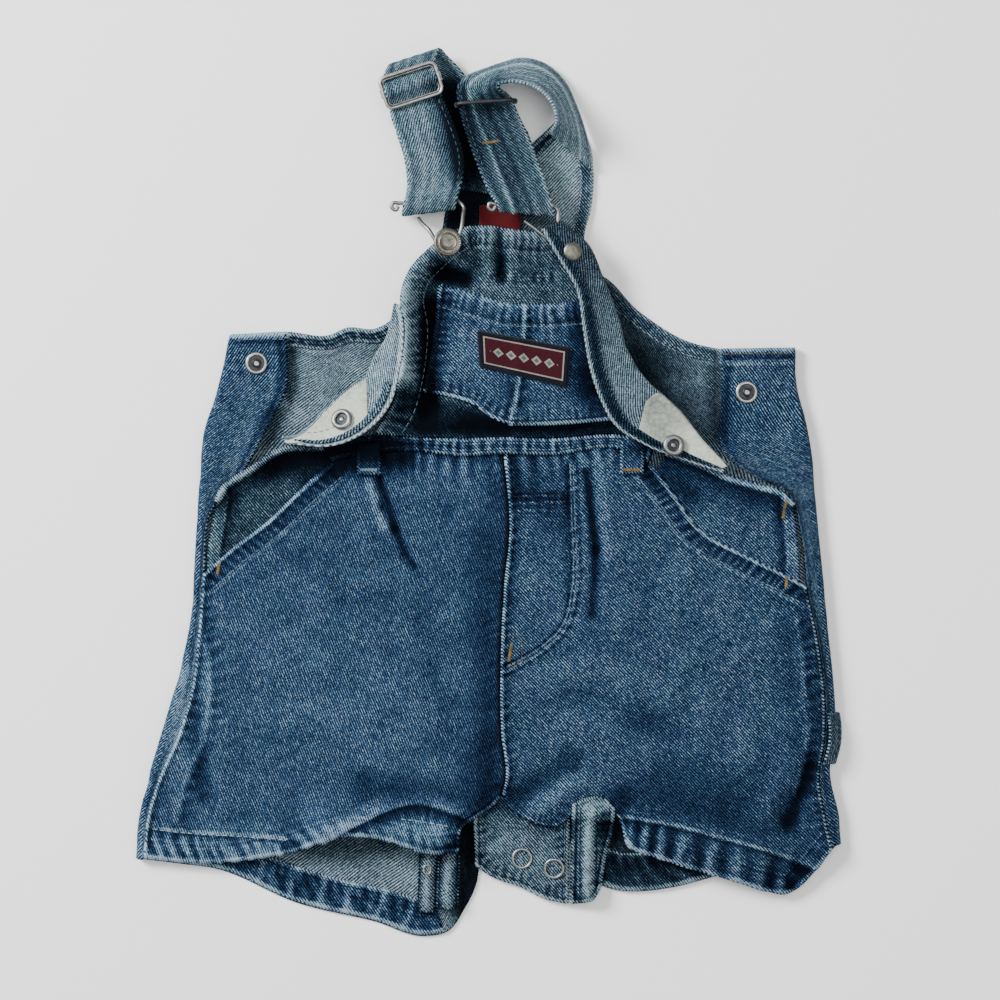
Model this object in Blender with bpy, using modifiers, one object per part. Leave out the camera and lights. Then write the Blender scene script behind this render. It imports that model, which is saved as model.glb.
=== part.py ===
"""Toddler's denim shortalls, laid out flat on a table with the sides unsnapped.

All sizes are in millimetres in the tables and become metres when a mesh is made. X runs to the
wearer's left as it is seen from above, Y runs up to the straps and Z rises from the table.
The origin is on the table, under the middle of the garment.
"""

import math
from collections import namedtuple

import bmesh
import bpy
import numpy as np
from mathutils import Matrix, Vector

MM = 0.001

# Driving dimensions.
DENIM = 1.4
FACING = 1.0
SEAM_GAP = 0.3
LAYER_GAP = 0.5
STRAP_THICK = 1.6
WIRE = 1.8
SIDE_FOLD = 2.6
WAISTBAND_THICK = 2.2
BELT_LOOP_WIDTH = 11.0
TOOL_LOOP_LOW = 1.5
TOOL_LOOP_HIGH = 9.5
SLIDER_SIZE = (28.8, 16.0)
SLIDER_CORNER = 3.0
SLIDER_BAR_DROP = -1.3
FASTENER_GAP = 0.4
LINING_LIFT = DENIM / 2 + SEAM_GAP + FACING / 2
CENTRE_SHIFT = (0.74, -1.75, 0)

# Places of the hardware.
SLIDER_LEFT = (-39.4, 204.4, 14.2)
SLIDER_LEFT_TURN = 18
SLIDER_RIGHT = (-2.0, 195.5, 14.2)
SLIDER_RIGHT_TURN = 4
BUTTON_LEFT = (-21.5, 125.5, 17.3)
BUTTON_LEFT_FACES = (0.13, 0.08, 1.0)
BUTTON_RIGHT = (40.8, 120.3, 17.7)
RIVET_PLACE = (41.0, 120.5)
SOCKET_LEFT = (-73.0, 35.5)
SOCKET_RIGHT = (92.5, 25.5)
STUD_LEFT = (-117.0, 66.0)
STUD_RIGHT = (128.5, 51.5)
RING_SNAPS = {"ring_snap_inner": (16.0, -182.0), "ring_snap_outer": (32.0, -187.0)}

# Turned profiles, as radius and height above the cloth, from the foot to the crown.
BUTTON_PROFILE = [
    (0, 0), (2.6, 0), (2.2, 0.6), (2.0, 2.8), (6.4, 3.0), (7.0, 3.6), (6.8, 4.4), (5.6, 4.9),
    (4.8, 4.6), (0, 4.7),
]
RIVET_PROFILE = [(0, 0), (4.4, 0), (4.4, 0.6), (2.4, 1.3), (0, 1.3)]
SOCKET_PROFILE = [
    (0, 0), (5.2, 0), (5.4, 0.5), (4.6, 1.4), (3.4, 1.6), (2.4, 0.9), (1.9, 0.5), (0, 0.5),
]
STUD_PROFILE = [
    (0, 0), (5.6, 0), (5.7, 0.4), (4.6, 0.8), (3.6, 0.6), (2.7, 0.8), (2.4, 2.0), (1.7, 2.3),
    (1.1, 1.6), (0, 1.6),
]
RING_PROFILE = [(4.3, 0), (5.2, 0), (5.3, 0.6), (4.7, 1.1), (4.1, 0.7), (4.3, 0)]

Fold = namedtuple("Fold", "x0 y0 x1 y1 width rise")
Strap = namedtuple("Strap", "x y z across lean width")
Wing = namedtuple("Wing", "free_x free_y free_z fold_x fold_y fold_z tail bend")
Lining = namedtuple("Lining", "start end near far most finish")
Finish = namedtuple("Finish", "name colour roughness metallic")

DENIM_FACE = Finish("denim_face", (0.075, 0.15, 0.25), 0.85, 0.0)
DENIM_INSIDE = Finish("denim_inside", (0.22, 0.29, 0.34), 0.88, 0.0)
POCKET_COTTON = Finish("pocket_cotton", (0.62, 0.62, 0.56), 0.9, 0.0)
PATCH_WEAVE = Finish("patch_weave", (0.03, 0.025, 0.06), 0.8, 0.0)
NECK_TAB = Finish("neck_tab", (0.4, 0.03, 0.04), 0.8, 0.0)
AGED_METAL = Finish("aged_metal", (0.42, 0.42, 0.38), 0.38, 1.0)

# ---------------------------------------------------------------------------
# Outlines, as x, y in millimetres.

# Outer edge of the flattened garment, where the back folds round to the front, hem to tab.
SIDE_FOLD_LEFT = [
    (-177, -182), (-176, -166), (-170.5, -141), (-162.5, -114), (-154, -84),
    (-149.5, -62), (-147.5, -32), (-145, 8), (-142.5, 33), (-137.5, 48), (-130, 80),
]
SIDE_FOLD_RIGHT = [
    (175.5, -175), (174.5, -162), (170, -141), (172.5, -112), (170.5, -82),
    (167.5, -52), (163.5, -12), (160.5, 22), (157.5, 38), (153.5, 53), (152.5, 74),
]
# Where the wrapped edge of the back ends on top: the outseam, then the free edge of the tab.
OUTSEAM_LEFT = [
    (-173.5, -181.5), (-172.5, -167), (-166.5, -144), (-156, -120), (-149.5, -98),
    (-146, -72), (-143.5, -40), (-140, -8), (-124, 12), (-111, 36), (-103, 52), (-102.5, 81),
]
OUTSEAM_RIGHT = [
    (171.5, -177.5), (169, -166), (165, -142), (167.5, -122), (167.5, -100), (164, -72),
    (159.5, -50), (156, -20), (149, 2), (133, 9), (116, 24), (116, 48), (116, 73.5),
]
BACK_HEM_LEFT = [
    (-177, -182), (-164, -184), (-138, -187), (-96, -204.5), (-58, -213.5), (-32, -221),
    (-22, -219), (-13, -207), (-8, -197), (-5, -175), (1, -154), (7.8, -136),
]
BACK_HEM_RIGHT = [
    (8.2, -136), (14, -152), (28, -166), (47, -181), (55, -195.5), (64, -198.5), (76, -199),
    (92, -197), (115, -191), (145, -184), (175.5, -175),
]
BACK_TOP_LEFT = [
    (-130, 80), (-102, 81.5), (-80, 80), (-72, 83.5), (-58, 83), (-45, 91), (-35, 106),
    (-20, 109), (7.8, 110),
]
BACK_TOP_RIGHT = [
    (8.2, 110), (35, 110), (55, 110.5), (75, 92), (100, 77), (115, 73.5), (152.5, 74),
]
YOKE_BOTTOM = [(-34.5, 107), (-20, 110), (8, 111), (35, 111), (55, 111.5)]
YOKE_LEFT = [(-34.5, 107), (-25, 128), (-22, 142), (-20, 165), (-14, 186)]
YOKE_RIGHT = [(55, 111.5), (47, 126), (50.5, 145), (51.5, 162), (49.5, 176), (36, 190)]
YOKE_TOP = [(-14, 186), (0, 180), (8, 168), (21, 176), (36, 190)]
BACK_HEM_TURN_LEFT = [
    (-150, -170), (-135, -172), (-113.5, -180.5), (-93, -188), (-70, -194.5), (-51, -198.5),
    (-34.5, -203.5), (-28, -205),
]
BACK_HEM_EDGE_LEFT = [
    (-150, -185), (-138, -186.5), (-96, -203.8), (-58, -212.8), (-32, -220.2), (-24, -218.8),
]
BACK_HEM_TURN_RIGHT = [(57.5, -177), (64, -179.5), (76, -180), (92, -178), (115, -172)]
BACK_HEM_EDGE_RIGHT = [(57.5, -195.3), (64, -197.8), (76, -198.3), (92, -196.3), (115, -190.3)]
ARMHOLE_TURN_LEFT = [(-100, 75), (-80, 73.5), (-70, 77), (-56, 76.8), (-41, 86), (-30, 104)]
ARMHOLE_EDGE_LEFT = [(-100, 81), (-80, 79.6), (-72, 83), (-58, 82.5), (-45.5, 90), (-35.5, 105)]
ARMHOLE_TURN_RIGHT = [
    (113, 67), (97, 70.5), (71, 86.5), (50, 106), (41, 126), (44.5, 145), (45.5, 160), (43, 172),
]
ARMHOLE_EDGE_RIGHT = [
    (113, 73), (100, 76.5), (75.5, 91), (55, 109.5), (47.5, 126), (50, 145), (51, 162), (49, 175),
]
NECK_TURN = [(-12, 178), (0, 171.5), (8, 160), (21, 167.5), (33, 180)]
NECK_EDGE = [(-13, 185), (0, 179.2), (8, 167.2), (21, 175.2), (34.5, 188)]
NECK_TAB_CORNERS = [(-5, 131), (15, 131), (15, 145), (-5, 145)]
CENTRE_FRONT = [
    (6.5, -149), (8, -143), (6, -118.5), (5.5, -91.5), (7, -52.5), (10, -12.5), (7.5, 20),
]
FRONT_HEM_LEFT = [
    (-173.5, -181.5), (-147, -184), (-113, -181), (-101, -179), (-88, -174.5), (-70, -170),
    (-57, -171), (-45, -174), (-32, -178.5), (-16, -178),
]
INSEAM_LEFT = [(-16, -178), (-14, -166), (-7, -161), (0, -156.5), (5, -151.5)]
FRONT_HEM_RIGHT = [
    (6.5, -149), (9, -155), (18, -162), (34, -165.5), (43, -158.5), (57, -156), (64.5, -162),
    (70, -176), (82, -180.5), (104, -187.5), (123, -193), (140, -198.5), (149.5, -199.5),
    (162, -189.5), (171.5, -177.5),
]
FRONT_TOP_LEFT = [
    (-143.5, -40), (-130, -28), (-110, -12.5), (-95, 2), (-80, 15), (-60, 19.5), (-40.5, 21.5),
    (-15, 19), (7.5, 20),
]
FRONT_TOP_RIGHT = [
    (7.5, 20), (31, 19.5), (64.5, 22.5), (80, 15), (92, 0), (105, -17.5), (125, -29),
    (147.5, -40), (158.5, -46),
]
WAIST_LOWER = [
    (-79, 17), (-72, 19), (-60, 20.7), (-40.5, 22.6), (-15, 20.2), (6, 21.2), (31, 20.6),
    (64.5, 23.6), (80, 17.5),
]
WAIST_UPPER = [
    (-83, 24.5), (-74, 27), (-60, 29), (-40, 28.6), (-15, 27.6), (9, 28.2), (31, 27.6),
    (62.5, 29.6), (81, 27),
]
BIB_BOTTOM = [
    (-57, 31), (-45, 30), (-33, 29), (-15, 28.8), (9, 29.3), (31, 29), (62, 31), (79, 29),
]
BIB_LEFT = [
    (-57, 31), (-48, 46), (-45, 57.5), (-43, 70), (-42.3, 84), (-44.3, 98), (-40, 112),
    (-31, 122), (-19, 131.5),
]
BIB_RIGHT = [
    (79, 29), (79, 39), (66, 51), (57, 66), (51, 85), (46, 103), (37.5, 119), (27, 131),
]
BIB_TOP = [(-19, 131.5), (-8, 134), (1, 134), (10, 132.5), (20, 131.4), (27, 131)]
POCKET_TOP = [(-25, 105), (-15, 102.5), (-4, 99), (9, 95.5), (17.5, 95), (30, 95), (48, 96.5)]
POCKET_BOTTOM = [(-33, 52), (-20, 49.5), (-9, 46), (1, 39), (10.5, 35), (35, 35.5), (62, 38)]
POCKET_CENTRE = [(10.5, 35), (14.5, 59.5), (16.5, 77.5), (17.5, 95)]
POCKET_LEFT = [(-33, 52), (-30, 67), (-27.5, 84), (-25, 105)]
POCKET_RIGHT = [(62, 38), (57, 58), (52, 78), (48, 96.5)]
PATCH_CORNERS = [(-5, 64), (38.5, 54), (40, 73.5), (-6, 82)]
FACING_LEFT_TOP = [(-136.5, -1), (-134.5, 3), (-120, 13.5), (-102.5, 24)]
FACING_LEFT_OUTER = [(-140.5, -46), (-141, -30), (-138, -10), (-136.5, -1)]
FACING_LEFT_INNER = [(-140.5, -46), (-120, -37), (-103, -21), (-80, 8)]
FACING_LEFT_END = [(-80, 8), (-89, 16), (-102.5, 24)]
FACING_RIGHT_TOP = [(90, 22), (106, 16), (120, 9.5), (135, 5), (146.5, 1.5), (151.5, -3)]
FACING_RIGHT_OUTER = [(155, -52), (153.5, -20), (151.5, -3)]
FACING_RIGHT_INNER = [(80, 7), (94, -16), (114, -34), (136, -46), (155, -52)]
FACING_RIGHT_END = [(80, 7), (85, 14), (90, 22)]
CROTCH_TOP = [(-8, -159.5), (2, -152), (9, -150.5), (22, -157), (35, -160), (39.5, -157)]
CROTCH_BOTTOM = [(-7, -185.5), (1, -191), (15, -196), (28.5, -202.5), (39, -204.5)]
CROTCH_UNDER_TOP = [(41.5, -155), (46.5, -152.5), (56, -151.5), (62, -157)]
CROTCH_UNDER_BOTTOM = [(40.5, -204.5), (46, -204), (51.5, -202.5), (55.5, -196)]
CROTCH_UNDER_OUTER = [(55.5, -196), (58, -180), (61.5, -166), (62, -157)]
LEG_PLACKETS = {"upper": (-36, -28, -208.5, -180), "under": (-26.5, -16.5, -207, -180)}
BELT_LOOPS = {"left": (-60.5, 10.5, 26), "right": (71, 11, 27)}
TOOL_LOOP = [(174.3, -109.5), (175, -114), (174.8, -125), (172.4, -134.5)]

# ---------------------------------------------------------------------------
# Heights: broad mounds and folds, each a soft ridge or trough along a line.

FRONT_LEVEL = 7.5
FRONT_FOLDS = [
    Fold(-110, -80, -50, -110, 42, 3.5),
    Fold(50, -90, 125, -110, 44, 3.2),
    Fold(-80, -168, -28, -166, 15, 9.0),
    Fold(-40, -182, -18, -168, 10, 3.0),
    Fold(-62, -146, -22, -154, 8, -2.0),
    Fold(76, -172, 128, -182, 13, 4.5),
    Fold(-150, -176, -172, -178, 18, -2.5),
    Fold(145, -202, 160, -190, 14, -3.5),
    Fold(-55, 8, -48, -16, 6, -1.4),
    Fold(-44, -22, -35, -40, 8, -1.2),
    Fold(-66, 2, -62, -25, 7, 1.6),
    Fold(48, 10, 53, -28, 4.5, -1.8),
    Fold(53, -28, 51, -60, 5, -1.4),
    Fold(60, 6, 64, -30, 6, 1.4),
    Fold(16, -149, 42, -133, 6, -2.2),
    Fold(20, -160, 46, -143, 5, 1.6),
    Fold(42, -100, 85, -118, 9, -1.8),
    Fold(50, -84, 88, -98, 9, 1.5),
    Fold(161, -135, 149, -164, 5, -2.2),
    Fold(151, -132, 138, -158, 7, 1.6),
    Fold(-150, -95, -143, -150, 5, -1.6),
    Fold(-136, -60, -134, -120, 8, 1.4),
    Fold(-20, -120, -36, -60, 10, -1.2),
    Fold(8, -150, 6, -60, 5, 1.0),
    Fold(100, -40, 130, -70, 12, 1.5),
]
BIB_LEVEL = 8.0
BIB_FOLDS = [
    Fold(-58, 38, -45, 58, 8, 8.0),
    Fold(-44, 62, -43, 96, 8.5, 10.5),
    Fold(-41, 106, -28, 122, 8.5, 8.5),
    Fold(-16, 128, 24, 127, 9, 4.0),
    Fold(-27, 36, -25, 92, 5, -2.2),
    Fold(-24, 110, -12, 108, 5, -4.0),
    Fold(5.5, 132, 5.5, 108, 2.6, -3.0),
    Fold(11.5, 130, 12, 112, 2.6, 1.2),
    Fold(-2, 131, -1, 112, 2.8, 1.2),
    Fold(-9, 130, -8, 114, 2.6, -1.2),
    Fold(-16, 33, 8, 31, 4, -1.5),
]
POCKET_FOLDS = [
    Fold(-8, 45, 10, 37, 8, 2.2),
    Fold(12, 37, 55, 38, 7, 2.6),
    Fold(17.5, 92, 11, 38, 3, 0.7),
    Fold(-20, 88, -24, 58, 6, -0.6),
    Fold(0, 92, -4, 70, 8, 0.9),
    Fold(30, 90, 44, 60, 10, 0.8),
]
CROTCH_TUCK = -160
CROTCH_TUCK_GAP = 0.8
CROTCH_SAG = 32
CROTCH_FOLDS = [Fold(0, -178, 30, -184, 9, 2.4), Fold(30, -170, 38, -200, 5, 1.2)]
CROTCH_UNDER_FOLDS = [Fold(49, -162, 48, -198, 6, 5.6)]
LEG_PLACKET_LEVEL = 1.9
LEG_PLACKET_STEP = -196
LEG_PLACKET_FOLDS = [Fold(-31.5, -186, -32, -204, 4.2, 4.0), Fold(-21, -186, -21.5, -202, 4.6, 4.2)]
PLACKET_EDGE_LEFT = Fold(-137, 2, -102, 26, 6.5, 5.0)
PLACKET_EDGE_RIGHT = Fold(120, 9, 152, -2, 5, 2.4)

# ---------------------------------------------------------------------------
# Side wings of the bib, folded over so that the wrong side is up: a row for each section, from
# the free edge over to the fold, and how far the cloth runs back underneath.

WING_RIGHT = [
    Wing(25.5, 132.2, 20.0, 35.5, 136.5, 19.0, 1, 3.2),
    Wing(34.5, 117, 20.2, 49, 124, 18.4, 1, 3.6),
    Wing(43, 102.5, 18.0, 56.5, 107, 15.8, 4, 3.0),
    Wing(46.5, 82.5, 16.5, 63, 91, 12.5, 8, 2.4),
    Wing(50, 62.5, 16.5, 69, 71, 12.0, 8, 2.4),
    Wing(55, 47.5, 16.5, 79, 56, 12.5, 8, 2.4),
    Wing(62.5, 34.5, 16.5, 92, 45, 13.0, 8, 2.4),
    Wing(76, 25.5, 16.0, 101, 34, 14.0, 3, 2.4),
    Wing(99, 16.5, 15.6, 110, 23, 15.0, 1, 2.4),
    Wing(116, 11, 15.2, 119.5, 14.5, 14.8, 0.5, 2.4),
]
WING_LEFT = [
    Wing(-45.0, 94, 19.4, -47.5, 95, 18.6, 1, 2.4),
    Wing(-43.4, 84, 19.6, -51, 80, 15.0, 3, 2.4),
    Wing(-44.0, 70, 19.6, -57, 70, 13.0, 5, 2.4),
    Wing(-46.2, 57.5, 19.4, -62.5, 58.5, 12.0, 6, 2.4),
    Wing(-49.5, 46.5, 19.0, -70.5, 53, 11.5, 8, 2.4),
    Wing(-58.5, 34.8, 18.5, -81.5, 43, 11.5, 8, 2.4),
    Wing(-70, 27.5, 17.5, -90, 34.5, 12.5, 6, 2.4),
    Wing(-80, 24.7, 17.0, -95.5, 30.5, 13.5, 3, 2.4),
    Wing(-92, 25.0, 16.4, -100, 29, 14.5, 1, 2.4),
    Wing(-101.5, 26.4, 15.8, -103.3, 28.6, 15.4, 0.5, 2.4),
]

# Turned hems and pocketing on the wings: shares of the wing's length, distances in from its free
# edge, and the most of the wing's width that they may cover.
WING_LININGS = {
    "left": {
        "wing_hem_left": Lining(0.36, 0.97, 0.8, 5.5, 0.6, DENIM_FACE),
        "pocketing_left": Lining(0.36, 0.9, 6.2, 60, 0.94, POCKET_COTTON),
    },
    "right": {
        "wing_hem_right": Lining(0.03, 0.97, 0.8, 10, 0.6, DENIM_FACE),
        "pocketing_right": Lining(0.66, 0.93, 10.8, 60, 0.94, POCKET_COTTON),
    },
}

# ---------------------------------------------------------------------------
# Straps: the middle of the strap, how its width lies in plan, and how far it leans on edge.

STRAP_LEFT_ROUTE = [
    Strap(-4, 152, 3.8, -10, 0, 28),
    Strap(-9, 170, 3.9, -6, 0, 28),
    Strap(-17, 190, 3.8, 4, 0, 28),
    Strap(-27, 208, 4.4, 14, 0, 27),
    Strap(-34.8, 216.4, 5.8, 18, 0, 26),
    Strap(-37.8, 219, 9.2, 18, 0, 26),
    Strap(-39.4, 216, 11.6, 18, 0, 26),
    Strap(-40.8, 209.6, 11.7, 18, 0, 26),
    Strap(-39.4, 204.4, 15.4, 18, 0, 26),
    Strap(-37.9, 199.4, 11.8, 17, 0, 26),
    Strap(-37.0, 196, 11.6, 15, 0, 26),
    Strap(-35, 190, 12.6, 11, 0, 27.5),
    Strap(-30.5, 179, 13.4, 6, 3, 28),
    Strap(-27, 166, 12.6, 5, 8, 28),
    Strap(-27.5, 155, 12.6, 7, 10, 27),
    Strap(-30, 145.5, 13.0, 7, 8, 26.5),
    Strap(-30.7, 141.6, 10.7, 7, 6, 26),
    Strap(-30.2, 145, 8.4, 7, 6, 26),
    Strap(-28, 155, 7.6, 7, 6, 26.5),
    Strap(-29, 170, 7.6, 6, 4, 27),
    Strap(-33.2, 184, 8.2, 10, 0, 27),
]
STRAP_RIGHT_ROUTE = [
    Strap(40.5, 172, 10.5, -40, -24, 28),
    Strap(40.5, 182, 14.5, -18, -54, 28),
    Strap(37.6, 193, 15.5, 12, -65, 28),
    Strap(32.5, 202.6, 15.5, 44, -62, 28),
    Strap(25.5, 208.8, 15.5, 72, -58, 28),
    Strap(16.5, 211.4, 15.5, 95, -58, 28),
    Strap(7, 210.4, 15.5, 112, -64, 28),
    Strap(-1.5, 206.8, 16.6, 140, -56, 27),
    Strap(-4.0, 202.0, 17.0, 168, -24, 26),
    Strap(-2.4, 196.5, 17.0, 184, -3, 26),
    Strap(0.5, 187, 15.0, 190, 0, 27),
    Strap(4.5, 177, 14.0, 195, 0, 28),
    Strap(9, 165, 14.0, 198, 0, 28),
    Strap(13.5, 154, 15.0, 194, 0, 27.5),
    Strap(17.3, 144.5, 18.4, 180, 0, 26.5),
    Strap(18.4, 140.6, 16.1, 176, 0, 26.5),
    Strap(17.6, 144, 13.8, 180, 0, 26.5),
    Strap(13.5, 155, 10.0, 194, 0, 27),
    Strap(9.3, 166, 8.8, 198, 0, 27.5),
    Strap(5.0, 178, 9.2, 196, 0, 27.5),
]

# Buckle hardware: x, y, z of each bend of the wire hooks, from the eye round to the free end.
HOOK_LEFT_BENDS = [
    (-45.8, 144.6, 8.8), (-47, 142.6, 8.4), (-49, 143.6, 8.2), (-48.6, 146, 8.4),
    (-45.4, 146.0, 8.8), (-30, 145.2, 10.6), (-15.5, 146.6, 12.4), (-13.2, 144, 13.2),
    (-13.4, 139.5, 15.5), (-14.0, 134, 17.6), (-15.6, 128.5, 18.2), (-17.4, 123.6, 18.4),
    (-20.6, 120.9, 18.9), (-24.2, 121.6, 19.4), (-26.8, 126, 19.2), (-30.5, 132, 18.0),
    (-34.2, 135.8, 14.8), (-35.6, 137.9, 12.0), (-35.6, 138.4, 7.0),
]
HOOK_RIGHT_BENDS = [
    (3.0, 143.8, 16.1), (1.2, 142, 16.1), (-0.6, 143.2, 16.1), (-0.3, 145.4, 16.1),
    (2.8, 145.0, 16.1), (17, 144.4, 16.1), (31, 144.4, 16.1), (33.6, 142.2, 16.1),
    (34.0, 136, 16.2), (37.5, 129.5, 16.2), (43.6, 124.6, 16.2), (45.0, 119.6, 16.2),
    (41.6, 116.4, 16.2), (37.2, 118.2, 16.2), (32, 124.5, 16.2), (24.5, 131, 16.2),
    (17, 136.6, 16.2),
]


# ---------------------------------------------------------------------------
# Curves and surfaces.

def smooth(rows, count):
    """Evenly spaced points on a soft curve through the given rows of numbers."""
    knots = np.array(rows, float)
    steps = np.linalg.norm(np.diff(knots[:, :3], axis=0), axis=1)
    at = np.concatenate(([0.0], np.cumsum(steps)))
    slopes = np.gradient(knots, at, axis=0)
    wanted = np.linspace(0.0, at[-1], count)
    i = np.clip(np.searchsorted(at, wanted, side="right") - 1, 0, len(at) - 2)
    span = (at[i + 1] - at[i])[:, None]
    s = (wanted - at[i])[:, None] / span
    start = (2 * s**3 - 3 * s**2 + 1) * knots[i] + (s**3 - 2 * s**2 + s) * slopes[i] * span
    end = (3 * s**2 - 2 * s**3) * knots[i + 1] + (s**3 - s**2) * slopes[i + 1] * span
    return start + end


def panel_grid(bottom, top, left, right, columns, rows):
    """Points of a panel stretched between its four edges."""
    b = smooth(bottom, columns)[None]
    t = smooth(top, columns)[None]
    l = smooth(left, rows)[:, None]
    r = smooth(right, rows)[:, None]
    u = np.linspace(0, 1, columns)[None, :, None]
    v = np.linspace(0, 1, rows)[:, None, None]
    ruled = (1 - v) * b + v * t + (1 - u) * l + u * r
    lower = (1 - v) * ((1 - u) * b[:, :1] + u * b[:, -1:])
    upper = v * ((1 - u) * t[:, :1] + u * t[:, -1:])
    return ruled - lower - upper


def folded_height(x, y, folds):
    """Sum of soft ridges and troughs, each fading away from its own line."""
    total = np.zeros_like(np.asarray(x, float))
    for fold in folds:
        run_x, run_y = fold.x1 - fold.x0, fold.y1 - fold.y0
        along = ((x - fold.x0) * run_x + (y - fold.y0) * run_y) / (run_x**2 + run_y**2)
        along = np.clip(along, 0, 1)
        away = np.hypot(x - fold.x0 - along * run_x, y - fold.y0 - along * run_y)
        total = total + fold.rise * np.exp(-((away / fold.width) ** 2))
    return total


def front_height(x, y):
    """Underside of the front of the shorts above the table."""
    return FRONT_LEVEL + folded_height(x, y, FRONT_FOLDS)


def bib_height(x, y):
    """Underside of the bib above the table."""
    return BIB_LEVEL + folded_height(x, y, BIB_FOLDS)


def pocket_height(x, y):
    """Underside of the bib pocket, laid on the bib."""
    return bib_height(x, y) + DENIM + LAYER_GAP + 0.6 + folded_height(x, y, POCKET_FOLDS)


def facing_height(x, y):
    """Underside of the slant-pocket facings, tucked under the front."""
    edges = [PLACKET_EDGE_LEFT, PLACKET_EDGE_RIGHT]
    return front_height(x, y) - DENIM - LAYER_GAP + folded_height(x, y, edges)


def tucked_height(x, y, low):
    """Cloth that hangs out from under the front between the legs and sinks to the table."""
    share = np.clip((CROTCH_TUCK - y) / CROTCH_SAG, 0, 1)
    share = share * share * (3 - 2 * share)
    return (front_height(x, y) - DENIM - CROTCH_TUCK_GAP) * (1 - share) + low * share


def crotch_height(x, y):
    """Underside of the snap placket between the legs."""
    return tucked_height(x, y, 2.6 + folded_height(x, y, CROTCH_FOLDS))


def crotch_under_height(x, y):
    """Underside of the rolled lower placket beside it."""
    return tucked_height(x, y, 3.2 + folded_height(x, y, CROTCH_UNDER_FOLDS))


def waist_height(x, y):
    """Underside of the waistband, a little proud of the front."""
    return front_height(x, y) - 0.2


def loop_height(x, y):
    """Underside of the belt loops, over the waistband."""
    return front_height(x, y) + WAISTBAND_THICK + 0.3


def patch_height(x, y):
    """Underside of the patch, sewn on the pocket."""
    return pocket_height(x, y) + DENIM + LAYER_GAP


def leg_placket_height(x, y):
    """Underside of the two rolled placket ends, which step up onto the back hem."""
    on_hem = np.clip((LEG_PLACKET_STEP - y) / LAYER_GAP, 0, 6) / 6
    return LEG_PLACKET_LEVEL + on_hem * FACING * 1.2 + folded_height(x, y, LEG_PLACKET_FOLDS)


def level(height):
    """A layer that lies flat at one height."""
    return lambda x, y: np.full_like(np.asarray(x, float), height)


def side_gaps(grid, left, right):
    """A grid whose side columns are moved sideways, which leaves the gap of a seam."""
    share = np.linspace(0, 1, grid.shape[1])[None, :]
    moved = grid.copy()
    moved[..., 0] += left * (1 - share) ** 4 + right * share ** 4
    return moved


def corner_grid(corners, columns, rows):
    """A grid between four corners, counted round from the lower left."""
    low_left, low_right, high_right, high_left = corners
    return panel_grid(
        [low_left, low_right], [high_left, high_right], [low_left, high_left],
        [low_right, high_right], columns, rows,
    )


def finish_material(finish):
    """Plain material of one finish, made once."""
    material = bpy.data.materials.get(finish.name)
    if material is None:
        material = bpy.data.materials.new(finish.name)
        material.use_nodes = True
        shader = material.node_tree.nodes["Principled BSDF"]
        shader.inputs["Base Color"].default_value = (*finish.colour, 1.0)
        shader.inputs["Roughness"].default_value = finish.roughness
        shader.inputs["Metallic"].default_value = finish.metallic
    return material


def new_object(name, form, finish):
    """Object of a finished bmesh, with its own material, in the garment's collection."""
    bmesh.ops.recalc_face_normals(form, faces=form.faces[:])
    mesh = bpy.data.meshes.new(name)
    form.to_mesh(mesh)
    form.free()
    mesh.shade_smooth()
    mesh.set_sharp_from_angle(angle=math.radians(50))
    mesh.materials.append(finish_material(finish).copy())
    mesh.materials[0].name = name + "_" + finish.name
    piece = bpy.data.objects.new(name, mesh)
    GARMENT.objects.link(piece)
    return piece


def grid_form(grid):
    """A grid primitive whose points are moved to the given places."""
    rows, columns = grid.shape[:2]
    form = bmesh.new()
    bmesh.ops.create_grid(form, x_segments=columns - 1, y_segments=rows - 1, size=1.0)
    for vertex in form.verts:
        column = round((vertex.co.x + 1) / 2 * (columns - 1))
        row = round((vertex.co.y + 1) / 2 * (rows - 1))
        vertex.co = Vector(grid[row, column]) * MM
    return form


def laid_panel(name, grid, height, finish, thick=DENIM):
    """Cloth that lies as a layer: its points take their height, then it is thickened upwards."""
    layer = np.dstack([grid[..., 0], grid[..., 1], height(grid[..., 0], grid[..., 1])])
    form = grid_form(layer)
    made = bmesh.ops.extrude_face_region(form, geom=form.faces[:])["geom"]
    raised = [item for item in made if isinstance(item, bmesh.types.BMVert)]
    bmesh.ops.translate(form, verts=raised, vec=(0, 0, thick * MM))
    return new_object(name, form, finish)


def curved_sheet(name, grid, finish, thick=DENIM):
    """Cloth that folds over itself: a surface thickened evenly to both sides."""
    piece = new_object(name, grid_form(grid), finish)
    wall = piece.modifiers.new("wall", "SOLIDIFY")
    wall.thickness = thick * MM
    wall.offset = 0.0
    wall.use_even_offset = False
    return piece


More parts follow.
